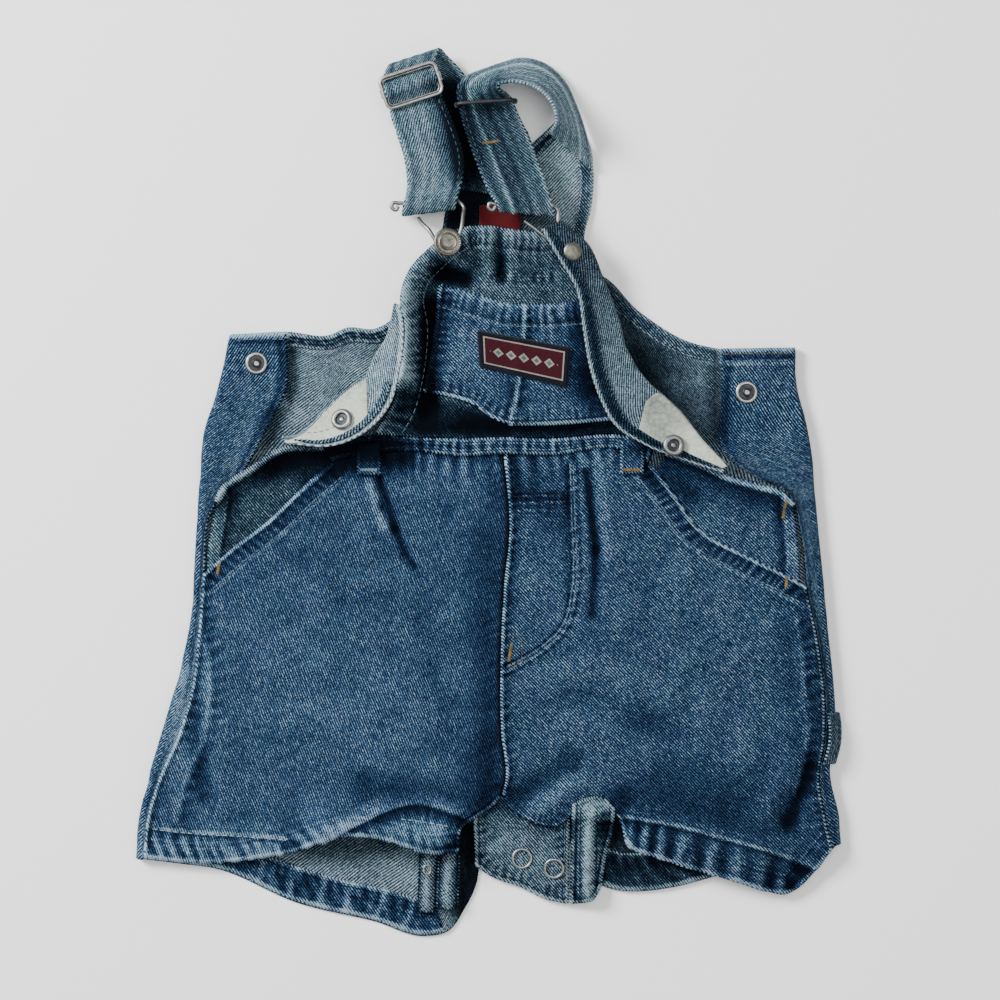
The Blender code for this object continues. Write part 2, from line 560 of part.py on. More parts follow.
def wrapped_back(name, panel, fold_edge, outseam, wrap_columns=2):
    """A back panel that lies flat, folds up at the side and ends in the outseam on top."""
    rows = panel.shape[0]
    edge = smooth(fold_edge, rows)
    seam = smooth(outseam, rows)
    middle = panel[:, 1]
    out = edge - middle[:, :2]
    out /= np.linalg.norm(out, axis=1)[:, None]
    low = DENIM / 2
    seam_z = np.maximum(front_height(seam[:, 0], seam[:, 1]) - 1.5, 2 * SIDE_FOLD + low)
    sections = []
    for i in range(rows):
        bend = edge[i] - out[i] * SIDE_FOLD
        width = np.linalg.norm(seam[i] - edge[i])
        reach = min(SIDE_FOLD, width * 0.8)
        top = edge[i] - out[i] * reach
        knots = [(*bend, low)]
        for turn in (-45, 0, 45):
            angle = math.radians(turn)
            centre = edge[i] - out[i] * (SIDE_FOLD if turn < 0 else reach)
            radius = SIDE_FOLD if turn < 0 else reach
            spot = centre + out[i] * radius * math.cos(angle)
            knots.append((*spot, low + SIDE_FOLD * (1 + math.sin(angle))))
        for step in range(wrap_columns):
            share = step / (wrap_columns - 1)
            spot = top * (1 - share) + seam[i] * share
            rise = low + 2 * SIDE_FOLD
            knots.append((*spot, rise * (1 - share) + seam_z[i] * share))
        sections.append(knots[::-1])
    sections = np.array(sections)
    flat = panel[:, 1:]
    flat = np.dstack([flat[..., 0], flat[..., 1], np.full(flat.shape[:2], low)])
    return curved_sheet(name, np.concatenate([sections, flat], axis=1), DENIM_FACE)


def folded_wing(sections, columns=6):
    """Points of a wing: free edge, over the fold, and a short way back underneath."""
    grid = []
    for row in sections:
        free = np.array(row[:3])
        fold = np.array(row[3:6])
        width = np.linalg.norm((free - fold)[:2])
        flat_in = np.array([free[0] - fold[0], free[1] - fold[1], 0.0]) / width
        radius = min(row[7], 0.3 * width)
        crest = fold + flat_in * radius
        centre = crest - (0, 0, radius)
        points = [free * (1 - share) + crest * share for share in np.linspace(0, 1, columns)]
        for turn in (35, 80, 130, 180):
            angle = math.radians(turn)
            rise = (0, 0, radius * math.cos(angle))
            points.append(centre - flat_in * radius * math.sin(angle) + rise)
        points.append(centre - (0, 0, radius) + flat_in * row[6])
        grid.append(points)
    return np.array(grid)


def wing_strip(table, lining, columns=4, rows=12):
    """Part of a wing's upper layer, for a hem or a pocketing that lies on it."""
    sections = smooth(table, 61)
    grid = []
    for index in np.linspace(lining.start * 60, lining.end * 60, rows).round().astype(int):
        section = sections[index]
        free, fold = section[:3], section[3:6]
        width = np.linalg.norm((free - fold)[:2])
        radius = min(section[7], 0.3 * width)
        crest = fold + (free - fold) * (1, 1, 0) / width * radius
        reach = width - radius
        near = min(lining.near, 0.68 * reach)
        far = min(lining.far, lining.most * reach)
        shares = np.linspace(near, far, columns) / reach
        grid.append([free * (1 - share) + crest * share for share in shares])
    return np.array(grid)


def on_top(grid, lift):
    """The same surface moved out along its own normals."""
    along = np.gradient(grid, axis=1)
    up = np.gradient(grid, axis=0)
    normal = np.cross(along, up)
    normal /= np.linalg.norm(normal, axis=2)[..., None]
    normal *= np.sign(normal[..., 2:].mean())
    return grid + normal * lift


def strap_grid(route, rows, columns):
    """Points of a strap along its route."""
    line = smooth(route, rows)
    across = np.radians(line[:, 3])
    lean = np.radians(line[:, 4])
    side = np.stack([
        np.cos(across) * np.cos(lean),
        np.sin(across) * np.cos(lean),
        np.sin(lean),
    ], axis=1)
    offsets = np.linspace(-0.5, 0.5, columns)[None, :] * line[:, 5:6]
    return line[:, None, :3] + side[:, None, :] * offsets[..., None]


def wire_object(name, points, diameter, closed=False):
    """A bent wire as a mesh, so that it can be joined to others."""
    curve = bpy.data.curves.new(name, "CURVE")
    curve.dimensions = "3D"
    curve.bevel_depth = diameter / 2 * MM
    curve.bevel_resolution = 2
    curve.use_fill_caps = True
    spline = curve.splines.new("POLY")
    spline.points.add(len(points) - 1)
    for knot, point in zip(spline.points, points):
        knot.co = (*(Vector(point) * MM), 1.0)
    spline.use_cyclic_u = closed
    guide = bpy.data.objects.new(name + "_curve", curve)
    bpy.context.scene.collection.objects.link(guide)
    bpy.context.view_layer.update()
    form = bmesh.new()
    evaluated = guide.evaluated_get(bpy.context.evaluated_depsgraph_get())
    form.from_mesh(bpy.data.meshes.new_from_object(evaluated))
    bmesh.ops.remove_doubles(form, verts=form.verts[:], dist=1e-6)
    bpy.data.objects.remove(guide)
    return new_object(name, form, AGED_METAL)


def turned_object(name, profile, place, normal=(0, 0, 1), finish=AGED_METAL, steps=16):
    """A turned piece from its radius and height profile, stood at its place on a slope."""
    form = bmesh.new()
    verts = [form.verts.new((radius * MM, 0, height * MM)) for radius, height in profile]
    edges = [form.edges.new(pair) for pair in zip(verts, verts[1:])]
    bmesh.ops.spin(
        form, geom=verts + edges, cent=(0, 0, 0), axis=(0, 0, 1), angle=math.tau, steps=steps,
    )
    bmesh.ops.remove_doubles(form, verts=form.verts[:], dist=1e-6)
    turn = Vector((0, 0, 1)).rotation_difference(Vector(normal)).to_matrix().to_4x4()
    shift = Matrix.Translation(Vector(place) * MM)
    bmesh.ops.transform(form, matrix=shift @ turn, verts=form.verts[:])
    return new_object(name, form, finish)


def surface_seat(height, thick, spot, step=3.0):
    """Place and normal of a fastener on a laid panel."""
    x, y = spot
    slope_x = float(height(x + step, y) - height(x - step, y)) / (2 * step)
    slope_y = float(height(x, y + step) - height(x, y - step)) / (2 * step)
    top = max(float(height(x + a, y + b)) for a in (-1, 0, 1) for b in (-1, 0, 1))
    return (x, y, top + thick + FASTENER_GAP), Vector((-slope_x, -slope_y, 1)).normalized()


def sheet_seat(grid, spot, lift):
    """Place and normal of a fastener on the upper layer of a wing."""
    upper = grid[:, :6]
    away = np.hypot(upper[..., 0] - spot[0], upper[..., 1] - spot[1])
    row, column = np.unravel_index(np.argmin(away), away.shape)
    row = min(max(row, 1), upper.shape[0] - 2)
    column = min(max(column, 1), upper.shape[1] - 2)
    along = Vector(upper[row + 1, column] - upper[row - 1, column])
    across = Vector(upper[row, column + 1] - upper[row, column - 1])
    normal = along.cross(across).normalized()
    if normal.z < 0:
        normal.negate()
    return Vector(upper[row, column]) + normal * (lift + FASTENER_GAP), normal


def rounded_loop(width, height, corner, steps=4):
    """The points of a rounded rectangle round the origin."""
    points = []
    for quarter, (side_x, side_y) in enumerate(((1, 1), (-1, 1), (-1, -1), (1, -1))):
        for step in range(steps):
            angle = math.radians(90 * quarter + 90 * step / (steps - 1))
            x = side_x * (width / 2 - corner) + corner * math.cos(angle)
            y = side_y * (height / 2 - corner) + corner * math.sin(angle)
            points.append(Vector((x, y, 0)))
    return points


def join_solids(piece, others):
    """Unite solids that are one piece of metal."""
    for other in others:
        union = piece.modifiers.new("union", "BOOLEAN")
        union.operation = "UNION"
        union.object = other
        GARMENT.objects.unlink(other)
        CUTTERS.objects.link(other)
        other.hide_render = True
        other.display_type = "WIRE"


# ---------------------------------------------------------------------------
# The garment.

def build_back():
    """Both back panels, the yoke that carries the straps, turned hems and the neck tab."""
    centre_left = [BACK_HEM_LEFT[-1], BACK_TOP_LEFT[-1]]
    centre_right = [BACK_HEM_RIGHT[0], BACK_TOP_RIGHT[0]]
    left = panel_grid(BACK_HEM_LEFT, BACK_TOP_LEFT, SIDE_FOLD_LEFT, centre_left, 8, 20)
    wrapped_back("back_left", left, SIDE_FOLD_LEFT, OUTSEAM_LEFT)
    right = panel_grid(
        BACK_HEM_RIGHT[::-1], BACK_TOP_RIGHT[::-1], SIDE_FOLD_RIGHT, centre_right, 8, 20,
    )
    wrapped_back("back_right", right, SIDE_FOLD_RIGHT, OUTSEAM_RIGHT)
    yoke = panel_grid(YOKE_BOTTOM, YOKE_TOP, YOKE_LEFT, YOKE_RIGHT, 9, 8)
    laid_panel("back_yoke", yoke, level(0.0), DENIM_INSIDE)
    on_back = level(DENIM + SEAM_GAP)
    for name, lower, upper, columns in (
        ("back_hem_left", BACK_HEM_EDGE_LEFT, BACK_HEM_TURN_LEFT, 14),
        ("back_hem_right", BACK_HEM_EDGE_RIGHT, BACK_HEM_TURN_RIGHT, 7),
        ("armhole_hem_left", ARMHOLE_TURN_LEFT, ARMHOLE_EDGE_LEFT, 11),
        ("armhole_hem_right", ARMHOLE_TURN_RIGHT, ARMHOLE_EDGE_RIGHT, 16),
        ("neck_hem", NECK_TURN, NECK_EDGE, 9),
    ):
        ends = [lower[0], upper[0]], [lower[-1], upper[-1]]
        laid_panel(name, panel_grid(lower, upper, *ends, columns, 2), on_back, DENIM_FACE, FACING)
    laid_panel("neck_tab", corner_grid(NECK_TAB_CORNERS, 2, 2), on_back, NECK_TAB, FACING)


def build_front():
    """Front legs, slant-pocket facings, waistband and belt loops."""
    side = FRONT_HEM_LEFT[:1] + OUTSEAM_LEFT[1:6] + FRONT_TOP_LEFT[:1]
    inner = INSEAM_LEFT + CENTRE_FRONT
    left = panel_grid(FRONT_HEM_LEFT, FRONT_TOP_LEFT, side, inner, 16, 18)
    laid_panel("front_left", side_gaps(left, 0.9, -0.6), front_height, DENIM_FACE)
    side = FRONT_HEM_RIGHT[-1:] + OUTSEAM_RIGHT[1:6] + FRONT_TOP_RIGHT[-1:]
    right = panel_grid(FRONT_HEM_RIGHT, FRONT_TOP_RIGHT, CENTRE_FRONT, side, 18, 16)
    laid_panel("front_right", side_gaps(right, 0.4, -1.2), front_height, DENIM_FACE)
    for name, lower, upper, start, end in (
        ("pocket_facing_left", FACING_LEFT_INNER, FACING_LEFT_TOP, FACING_LEFT_OUTER,
         FACING_LEFT_END),
        ("pocket_facing_right", FACING_RIGHT_INNER, FACING_RIGHT_TOP, FACING_RIGHT_END,
         FACING_RIGHT_OUTER),
    ):
        facing = panel_grid(lower, upper, start, end, 9, 7)
        laid_panel(name, facing, facing_height, DENIM_FACE)
    ends = [WAIST_LOWER[0], WAIST_UPPER[0]], [WAIST_LOWER[-1], WAIST_UPPER[-1]]
    waist = panel_grid(WAIST_LOWER, WAIST_UPPER, *ends, 20, 3)
    laid_panel("waistband", waist, waist_height, DENIM_FACE, WAISTBAND_THICK)
    for side, (across, low, high) in BELT_LOOPS.items():
        half = BELT_LOOP_WIDTH / 2
        corners = [(across - half, low), (across + half, low), (across + half, high),
                   (across - half, high)]
        laid_panel("belt_loop_" + side, corner_grid(corners, 3, 5), loop_height, DENIM_FACE)


def build_bib():
    """Bib, its pocket in two halves, the patch and the folded wings with their linings."""
    bib = panel_grid(BIB_BOTTOM, BIB_TOP, BIB_LEFT, BIB_RIGHT, 18, 18)
    laid_panel("bib", bib, bib_height, DENIM_FACE)
    cut = [i for i, point in enumerate(POCKET_BOTTOM) if point == POCKET_CENTRE[0]][0]
    top_cut = [i for i, point in enumerate(POCKET_TOP) if point == POCKET_CENTRE[-1]][0]
    left = panel_grid(
        POCKET_BOTTOM[:cut + 1], POCKET_TOP[:top_cut + 1], POCKET_LEFT, POCKET_CENTRE, 9, 9,
    )
    laid_panel("bib_pocket_left", side_gaps(left, 0, -0.3), pocket_height, DENIM_FACE)
    right = panel_grid(
        POCKET_BOTTOM[cut:], POCKET_TOP[top_cut:], POCKET_CENTRE, POCKET_RIGHT, 9, 9,
    )
    laid_panel("bib_pocket_right", side_gaps(right, 0.3, 0), pocket_height, DENIM_FACE)
    laid_panel("pocket_patch", corner_grid(PATCH_CORNERS, 8, 5), patch_height, PATCH_WEAVE,
               FACING)
    for side, table in (("left", WING_LEFT), ("right", WING_RIGHT)):
        curved_sheet("wing_" + side, folded_wing(smooth(table, 17)), DENIM_INSIDE)
        for name, lining in WING_LININGS[side].items():
            strip = on_top(wing_strip(table, lining), LINING_LIFT)
            curved_sheet(name, strip, lining.finish, FACING)


def build_crotch():
    """Snap placket between the legs, the placket ends in the left leg, and the tool loop."""
    for name, lower, upper, height in (
        ("crotch_placket", CROTCH_BOTTOM, CROTCH_TOP, crotch_height),
        ("crotch_placket_under", CROTCH_UNDER_BOTTOM, CROTCH_UNDER_TOP, crotch_under_height),
    ):
        end = CROTCH_UNDER_OUTER if "under" in name else [lower[-1], upper[-1]]
        panel = panel_grid(lower, upper, [lower[0], upper[0]], end, 9, 7)
        laid_panel(name, panel, height, DENIM_FACE)
    for name, (left, right, low, high) in LEG_PLACKETS.items():
        corners = [(left, low), (right, low), (right + 1, high), (left + 1, high)]
        laid_panel("leg_placket_" + name, corner_grid(corners, 5, 5), leg_placket_height,
                   DENIM_FACE)
    route = smooth(TOOL_LOOP, 9)
    rungs = np.linspace(TOOL_LOOP_LOW, TOOL_LOOP_HIGH, 2)
    loop = np.array([[(*point, rung) for rung in rungs] for point in route])
    curved_sheet("tool_loop", loop, DENIM_FACE)


def build_straps():
    """Both straps with their sliders and wire hooks."""
    curved_sheet("strap_left", strap_grid(STRAP_LEFT_ROUTE, 62, 3), DENIM_FACE, STRAP_THICK)
    curved_sheet("strap_right", strap_grid(STRAP_RIGHT_ROUTE, 56, 3), DENIM_FACE, STRAP_THICK)
    wire_object("hook_left", smooth(HOOK_LEFT_BENDS, 34), WIRE)
    wire_object("hook_right", smooth(HOOK_RIGHT_BENDS, 32), WIRE)
    frame = rounded_loop(*SLIDER_SIZE, SLIDER_CORNER)
    for side, place, turns in (
        ("left", SLIDER_LEFT, (0, SLIDER_LEFT_TURN)),
        ("right", SLIDER_RIGHT, (90, SLIDER_RIGHT_TURN)),
    ):
        stand = Matrix.Rotation(math.radians(turns[1]), 3, "Z")
        stand = stand @ Matrix.Rotation(math.radians(turns[0]), 3, "X")
        loop = [stand @ point + Vector(place) for point in frame]
        slider = wire_object("slider_" + side, loop, WIRE, closed=True)
        drop = Vector((0, 0, SLIDER_BAR_DROP))
        half = Vector(((SLIDER_SIZE[0]) / 2, 0, 0))
        ends = [stand @ (end + (0 if turns[0] else 1) * drop) + Vector(place)
                for end in (-half, half)]
        bar = wire_object("slider_bar_" + side, ends, WIRE)
        join_solids(slider, [bar])


def build_fasteners():
    """Buttons, rivet back, snap studs, sockets and ring snaps, each on the cloth that holds it."""
    turned_object("bib_button_left", BUTTON_PROFILE, BUTTON_LEFT, BUTTON_LEFT_FACES)
    flipped = [(radius, -height) for radius, height in BUTTON_PROFILE]
    turned_object("bib_button_right", flipped, BUTTON_RIGHT)
    wing = folded_wing(smooth(WING_RIGHT, 60))
    lining = DENIM / 2 + SEAM_GAP + FACING
    turned_object("button_rivet", RIVET_PROFILE, *sheet_seat(wing, RIVET_PLACE, lining))
    turned_object("snap_socket_right", SOCKET_PROFILE, *sheet_seat(wing, SOCKET_RIGHT, lining))
    wing = folded_wing(smooth(WING_LEFT, 60))
    turned_object("snap_socket_left", SOCKET_PROFILE, *sheet_seat(wing, SOCKET_LEFT, lining))
    tab_top = DENIM + 2 * SIDE_FOLD + SEAM_GAP
    turned_object("snap_stud_left", STUD_PROFILE, (*STUD_LEFT, tab_top))
    turned_object("snap_stud_right", STUD_PROFILE, (*STUD_RIGHT, tab_top))
    for name, place in RING_SNAPS.items():
        turned_object(name, RING_PROFILE, *surface_seat(crotch_height, DENIM, place))


for old in list(bpy.data.objects):
    bpy.data.objects.remove(old)
GARMENT = bpy.data.collections.new("denim_shortalls")
CUTTERS = bpy.data.collections.new("cutters")
bpy.context.scene.collection.children.link(GARMENT)
bpy.context.scene.collection.children.link(CUTTERS)
build_back()
build_front()
build_bib()
build_crotch()
build_straps()
build_fasteners()
to_centre = Matrix.Translation(Vector(CENTRE_SHIFT) * MM)
for piece in [*GARMENT.objects, *CUTTERS.objects]:
    piece.data.transform(to_centre)
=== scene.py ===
"""Looks of the toddler's denim shortalls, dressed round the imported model.

Tables are in millimetres on the table top, X to the right and Y up to the straps, and each mesh is
moved by CENTRE_SHIFT and made metres when it is built. Every cloth piece is a thin closed shell.
"""

import math
from collections import namedtuple

import bmesh
import bpy
import numpy as np
from mathutils import Matrix, Vector
from mathutils.bvhtree import BVHTree


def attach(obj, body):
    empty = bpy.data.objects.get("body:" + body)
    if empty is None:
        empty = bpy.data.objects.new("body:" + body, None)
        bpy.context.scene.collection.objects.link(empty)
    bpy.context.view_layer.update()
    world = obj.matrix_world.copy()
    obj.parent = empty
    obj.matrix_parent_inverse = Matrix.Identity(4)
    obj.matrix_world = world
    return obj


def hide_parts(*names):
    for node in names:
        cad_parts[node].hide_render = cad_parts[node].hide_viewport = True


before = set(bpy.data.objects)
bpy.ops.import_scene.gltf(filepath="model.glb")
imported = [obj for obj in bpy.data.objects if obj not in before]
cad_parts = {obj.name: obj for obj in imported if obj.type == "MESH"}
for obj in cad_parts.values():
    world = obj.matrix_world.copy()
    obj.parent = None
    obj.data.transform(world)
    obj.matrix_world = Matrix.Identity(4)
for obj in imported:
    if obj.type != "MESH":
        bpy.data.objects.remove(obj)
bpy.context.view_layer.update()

MM = 0.001
# From the tables' origin to the frame's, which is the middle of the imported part.
CENTRE_SHIFT = np.array([0.74, -1.75, 0.0])

# Driving dimensions.
DENIM = 1.4
FACING = 1.0
SEAM_GAP = 0.3
LAYER_GAP = 0.5
STRAP_THICK = 1.6
WIRE = 1.8
HOOK_WIRE = 2.0
SLIDER_SIZE = (28.8, 16.0)
SLIDER_CORNER = 3.0
SLIDER_BAR_DROP = -1.3
SIDE_FOLD = 2.6
OUTSEAM_SINK = 1.5
WAISTBAND_THICK = 2.2
WAISTBAND_SINK = 0.2
BELT_LOOP_WIDTH = 11.0
TOOL_LOOP_LOW = 1.5
TOOL_LOOP_HIGH = 9.5
TOOL_LOOP_LEAN = 6.0
FASTENER_GAP = 0.4
LINING_LIFT = DENIM / 2 + SEAM_GAP + FACING / 2
FINE_STEP = 1.0
RIM = 0.42

# Places of the hardware.
SLIDER_LEFT = (-39.4, 204.4, 14.2)
SLIDER_LEFT_TURN = 18
SLIDER_RIGHT = (-2.0, 195.5, 14.2)
SLIDER_RIGHT_TURN = 4
BUTTON_LEFT = (-21.5, 125.5, 17.3)
BUTTON_LEFT_FACES = (0.13, 0.08, 1.0)
BUTTON_RIGHT = (40.8, 120.3, 17.7)
RIVET_PLACE = (41.0, 120.5)
SOCKET_LEFT = (-73.0, 35.5)
SOCKET_RIGHT = (92.5, 25.5)
STUD_LEFT = (-117.0, 66.0)
STUD_RIGHT = (128.5, 51.5)
RING_SNAPS = {"ring_snap_inner": (16.0, -182.0), "ring_snap_outer": (32.0, -187.0)}
PLACKET_RING = (-31.5, -187.5)

# Turned profiles, as radius and height above the cloth, from the foot to the crown.
BUTTON_PROFILE = [
    (0, 0), (2.6, 0), (2.2, 0.6), (2.0, 2.8), (6.4, 3.0), (6.9, 3.3), (7.05, 3.8), (6.9, 4.4),
    (6.5, 4.8), (6.2, 4.85), (5.9, 4.65), (5.0, 4.55), (4.4, 4.6), (4.15, 4.8), (3.9, 4.6),
    (2.0, 4.5), (0.6, 4.75), (0, 4.8),
]
BUTTON_CROWN = 4.75
RIVET_PROFILE = [(0, 0), (4.4, 0), (4.4, 0.5), (3.9, 0.9), (2.6, 1.2), (1.6, 1.3), (0, 1.3)]
SOCKET_PROFILE = [
    (0, 0), (5.2, 0), (5.4, 0.5), (5.1, 1.1), (4.4, 1.5), (3.6, 1.55), (3.0, 1.2), (2.7, 0.4),
    (1.4, 0.3), (1.2, 0.6), (0.7, 0.8), (0, 0.8),
]
STUD_PROFILE = [
    (0, 0), (5.4, 0), (5.6, 0.4), (5.3, 0.9), (4.8, 1.1), (4.2, 0.95), (3.9, 0.5), (2.2, 0.45),
    (2.1, 0.9), (2.0, 1.8), (1.6, 2.1), (1.2, 1.9), (1.0, 1.0), (0, 1.0),
]

Lining = namedtuple("Lining", "start end near far most")

# ---------------------------------------------------------------------------
# Outlines, as x, y in millimetres.

# Outer edge of the flattened garment, where the back folds round to the front, hem to tab.
SIDE_FOLD_LEFT = [
    (-177, -182), (-176, -166), (-170.5, -141), (-162.5, -114), (-154, -84),
    (-149.5, -62), (-147.5, -32), (-145, 8), (-142.5, 33), (-137.5, 48), (-130, 80),
]
SIDE_FOLD_RIGHT = [
    (175.5, -175), (174.5, -162), (170, -141), (172.5, -112), (170.5, -82),
    (167.5, -52), (163.5, -12), (160.5, 22), (157.5, 38), (153.5, 53), (152.5, 74),
]
# Where the wrapped edge of the back ends on top: the outseam, then the free edge of the tab.
OUTSEAM_LEFT = [
    (-173.5, -181.5), (-172.5, -167), (-166.5, -144), (-156, -120), (-149.5, -98),
    (-146, -72), (-143.5, -40), (-140, -8), (-124, 12), (-111, 36), (-103, 52), (-102.5, 81),
]
OUTSEAM_RIGHT = [
    (171.5, -177.5), (169, -166), (165, -142), (167.5, -122), (167.5, -100), (164, -72),
    (159.5, -50), (156, -20), (149, 2), (133, 9), (116, 24), (116, 48), (116, 73.5),
]
BACK_HEM_LEFT = [
    (-177, -182), (-164, -184), (-138, -187), (-96, -204.5), (-58, -213.5), (-32, -221),
    (-22, -219), (-13, -207), (-8, -197), (-5, -175), (1, -154), (7.8, -136),
]
BACK_HEM_RIGHT = [
    (8.2, -136), (14, -152), (28, -166), (47, -181), (55, -195.5), (64, -198.5), (76, -199),
    (92, -197), (115, -191), (145, -184), (175.5, -175),
]
BACK_TOP_LEFT = [
    (-130, 80), (-102, 81.5), (-80, 80), (-72, 83.5), (-58, 83), (-45, 91), (-35, 106),
    (-20, 109), (7.8, 110),
]
BACK_TOP_RIGHT = [
    (8.2, 110), (35, 110), (55, 110.5), (75, 92), (100, 77), (115, 73.5), (152.5, 74),
]
YOKE_BOTTOM = [(-34.5, 107), (-20, 110), (8, 111), (35, 111), (55, 111.5)]
YOKE_LEFT = [(-34.5, 107), (-25, 128), (-22, 142), (-20, 165), (-14, 186)]
YOKE_RIGHT = [(55, 111.5), (47, 126), (50.5, 145), (51.5, 162), (49.5, 176), (36, 190)]
YOKE_TOP = [(-14, 186), (0, 180), (8, 168), (21, 176), (36, 190)]
BACK_HEM_TURN_LEFT = [
    (-150, -170), (-135, -172), (-113.5, -180.5), (-93, -188), (-70, -194.5), (-51, -198.5),
    (-34.5, -203.5), (-28, -205),
]
BACK_HEM_EDGE_LEFT = [
    (-150, -185), (-138, -186.5), (-96, -203.8), (-58, -212.8), (-32, -220.2), (-24, -218.8),
]
BACK_HEM_TURN_RIGHT = [(57.5, -177), (64, -179.5), (76, -180), (92, -178), (115, -172)]
BACK_HEM_EDGE_RIGHT = [(57.5, -195.3), (64, -197.8), (76, -198.3), (92, -196.3), (115, -190.3)]
ARMHOLE_TURN_LEFT = [(-100, 75), (-80, 73.5), (-70, 77), (-56, 76.8), (-41, 86), (-30, 104)]
ARMHOLE_EDGE_LEFT = [(-100, 81), (-80, 79.6), (-72, 83), (-58, 82.5), (-45.5, 90), (-35.5, 105)]
ARMHOLE_TURN_RIGHT = [
    (113, 67), (97, 70.5), (71, 86.5), (50, 106), (41, 126), (44.5, 145), (45.5, 160), (43, 172),
]
ARMHOLE_EDGE_RIGHT = [
    (113, 73), (100, 76.5), (75.5, 91), (55, 109.5), (47.5, 126), (50, 145), (51, 162), (49, 175),
]
NECK_TURN = [(-12, 178), (0, 171.5), (8, 160), (21, 167.5), (33, 180)]
NECK_EDGE = [(-13, 185), (0, 179.2), (8, 167.2), (21, 175.2), (34.5, 188)]
NECK_TAB_CORNERS = [(-5, 131), (15, 131), (15, 145), (-5, 145)]
CENTRE_FRONT = [
    (6.5, -149), (8, -143), (6, -118.5), (5.5, -91.5), (7, -52.5), (10, -12.5), (7.5, 20),
]
FRONT_HEM_LEFT = [
    (-173.5, -181.5), (-147, -184), (-113, -181), (-101, -179), (-88, -174.5), (-70, -170),
    (-57, -171), (-45, -174), (-32, -178.5), (-16, -178),
]
INSEAM_LEFT = [(-16, -178), (-14, -166), (-7, -161), (0, -156.5), (5, -151.5)]
FRONT_HEM_RIGHT = [
    (6.5, -149), (9, -155), (18, -162), (34, -165.5), (43, -158.5), (57, -156), (64.5, -162),
    (70, -176), (82, -180.5), (104, -187.5), (123, -193), (140, -198.5), (149.5, -199.5),
    (162, -189.5), (171.5, -177.5),
]
FRONT_TOP_LEFT = [
    (-143.5, -40), (-130, -28), (-110, -12.5), (-95, 2), (-80, 15), (-60, 19.5), (-40.5, 21.5),
    (-15, 19), (7.5, 20),
]
FRONT_TOP_RIGHT = [
    (7.5, 20), (31, 19.5), (64.5, 22.5), (80, 15), (92, 0), (105, -17.5), (125, -29),
    (147.5, -40), (158.5, -46),
]
SIDE_SEAM_LEFT = FRONT_HEM_LEFT[:1] + OUTSEAM_LEFT[1:6] + FRONT_TOP_LEFT[:1]
SIDE_SEAM_RIGHT = FRONT_HEM_RIGHT[-1:] + OUTSEAM_RIGHT[1:6] + FRONT_TOP_RIGHT[-1:]
WAIST_LOWER = [
    (-79, 17), (-72, 19), (-60, 20.7), (-40.5, 22.6), (-15, 20.2), (6, 21.2), (31, 20.6),
    (64.5, 23.6), (80, 17.5),
]
WAIST_UPPER = [
    (-83, 24.5), (-74, 27), (-60, 29), (-40, 28.6), (-15, 27.6), (9, 28.2), (31, 27.6),
    (62.5, 29.6), (81, 27),
]
BIB_BOTTOM = [
    (-57, 31), (-45, 30), (-33, 29), (-15, 28.8), (9, 29.3), (31, 29), (62, 31), (79, 29),
]
BIB_LEFT = [
    (-57, 31), (-48, 46), (-45, 57.5), (-43, 70), (-42.3, 84), (-44.3, 98), (-40, 112),
    (-31, 122), (-19, 131.5),
]
BIB_RIGHT = [
    (79, 29), (79, 39), (66, 51), (57, 66), (51, 85), (46, 103), (37.5, 119), (27, 131),
]
BIB_TOP = [(-19, 131.5), (-8, 134), (1, 134), (10, 132.5), (20, 131.4), (27, 131)]
POCKET_TOP = [(-25, 105), (-15, 102.5), (-4, 99), (9, 95.5), (17.5, 95), (30, 95), (48, 96.5)]
POCKET_BOTTOM = [(-33, 52), (-20, 49.5), (-9, 46), (1, 39), (10.5, 35), (35, 35.5), (62, 38)]
POCKET_CENTRE = [(10.5, 35), (14.5, 59.5), (16.5, 77.5), (17.5, 95)]
POCKET_LEFT = [(-33, 52), (-30, 67), (-27.5, 84), (-25, 105)]
POCKET_RIGHT = [(62, 38), (57, 58), (52, 78), (48, 96.5)]
PATCH_CORNERS = [(-5, 64), (38.5, 54), (40, 73.5), (-6, 82)]
PATCH_HALF = (22.5, 9.2)
PATCH_EDGES = list(zip(PATCH_CORNERS, PATCH_CORNERS[1:] + PATCH_CORNERS[:1]))
FACING_LEFT_TOP = [
    (-136.5, -1), (-134.5, 3), (-120, 13.5), (-102.5, 24), (-88, 24.5), (-72, 26),
]
FACING_LEFT_OUTER = [(-140.5, -46), (-141, -30), (-138, -10), (-136.5, -1)]
FACING_LEFT_INNER = [(-140.5, -46), (-120, -37), (-103, -21), (-84, 3), (-68, 13)]
FACING_LEFT_END = [(-68, 13), (-70, 19), (-72, 26)]
FACING_RIGHT_TOP = [(90, 22), (106, 16), (120, 9.5), (135, 5), (146.5, 1.5), (151.5, -3)]
FACING_RIGHT_OUTER = [(155, -52), (153.5, -20), (151.5, -3)]
FACING_RIGHT_INNER = [(80, 7), (94, -16), (114, -34), (136, -46), (155, -52)]
FACING_RIGHT_END = [(80, 7), (85, 14), (90, 22)]
CROTCH_TOP = [(-8, -159.5), (2, -152), (9, -150.5), (22, -157), (35, -160), (39.5, -157)]
CROTCH_BOTTOM = [(-7, -185.5), (1, -191), (15, -196), (28.5, -202.5), (39, -204.5)]
CROTCH_UNDER_TOP = [(41.5, -155), (46.5, -152.5), (56, -151.5), (62, -157)]
CROTCH_UNDER_BOTTOM = [(40.5, -204.5), (46, -204), (51.5, -202.5), (55.5, -196)]
CROTCH_UNDER_OUTER = [(55.5, -196), (58, -180), (61.5, -166), (62, -157)]
LEG_PLACKETS = {"upper": (-36, -28, -208.5, -180), "under": (-26.5, -16.5, -207, -180)}
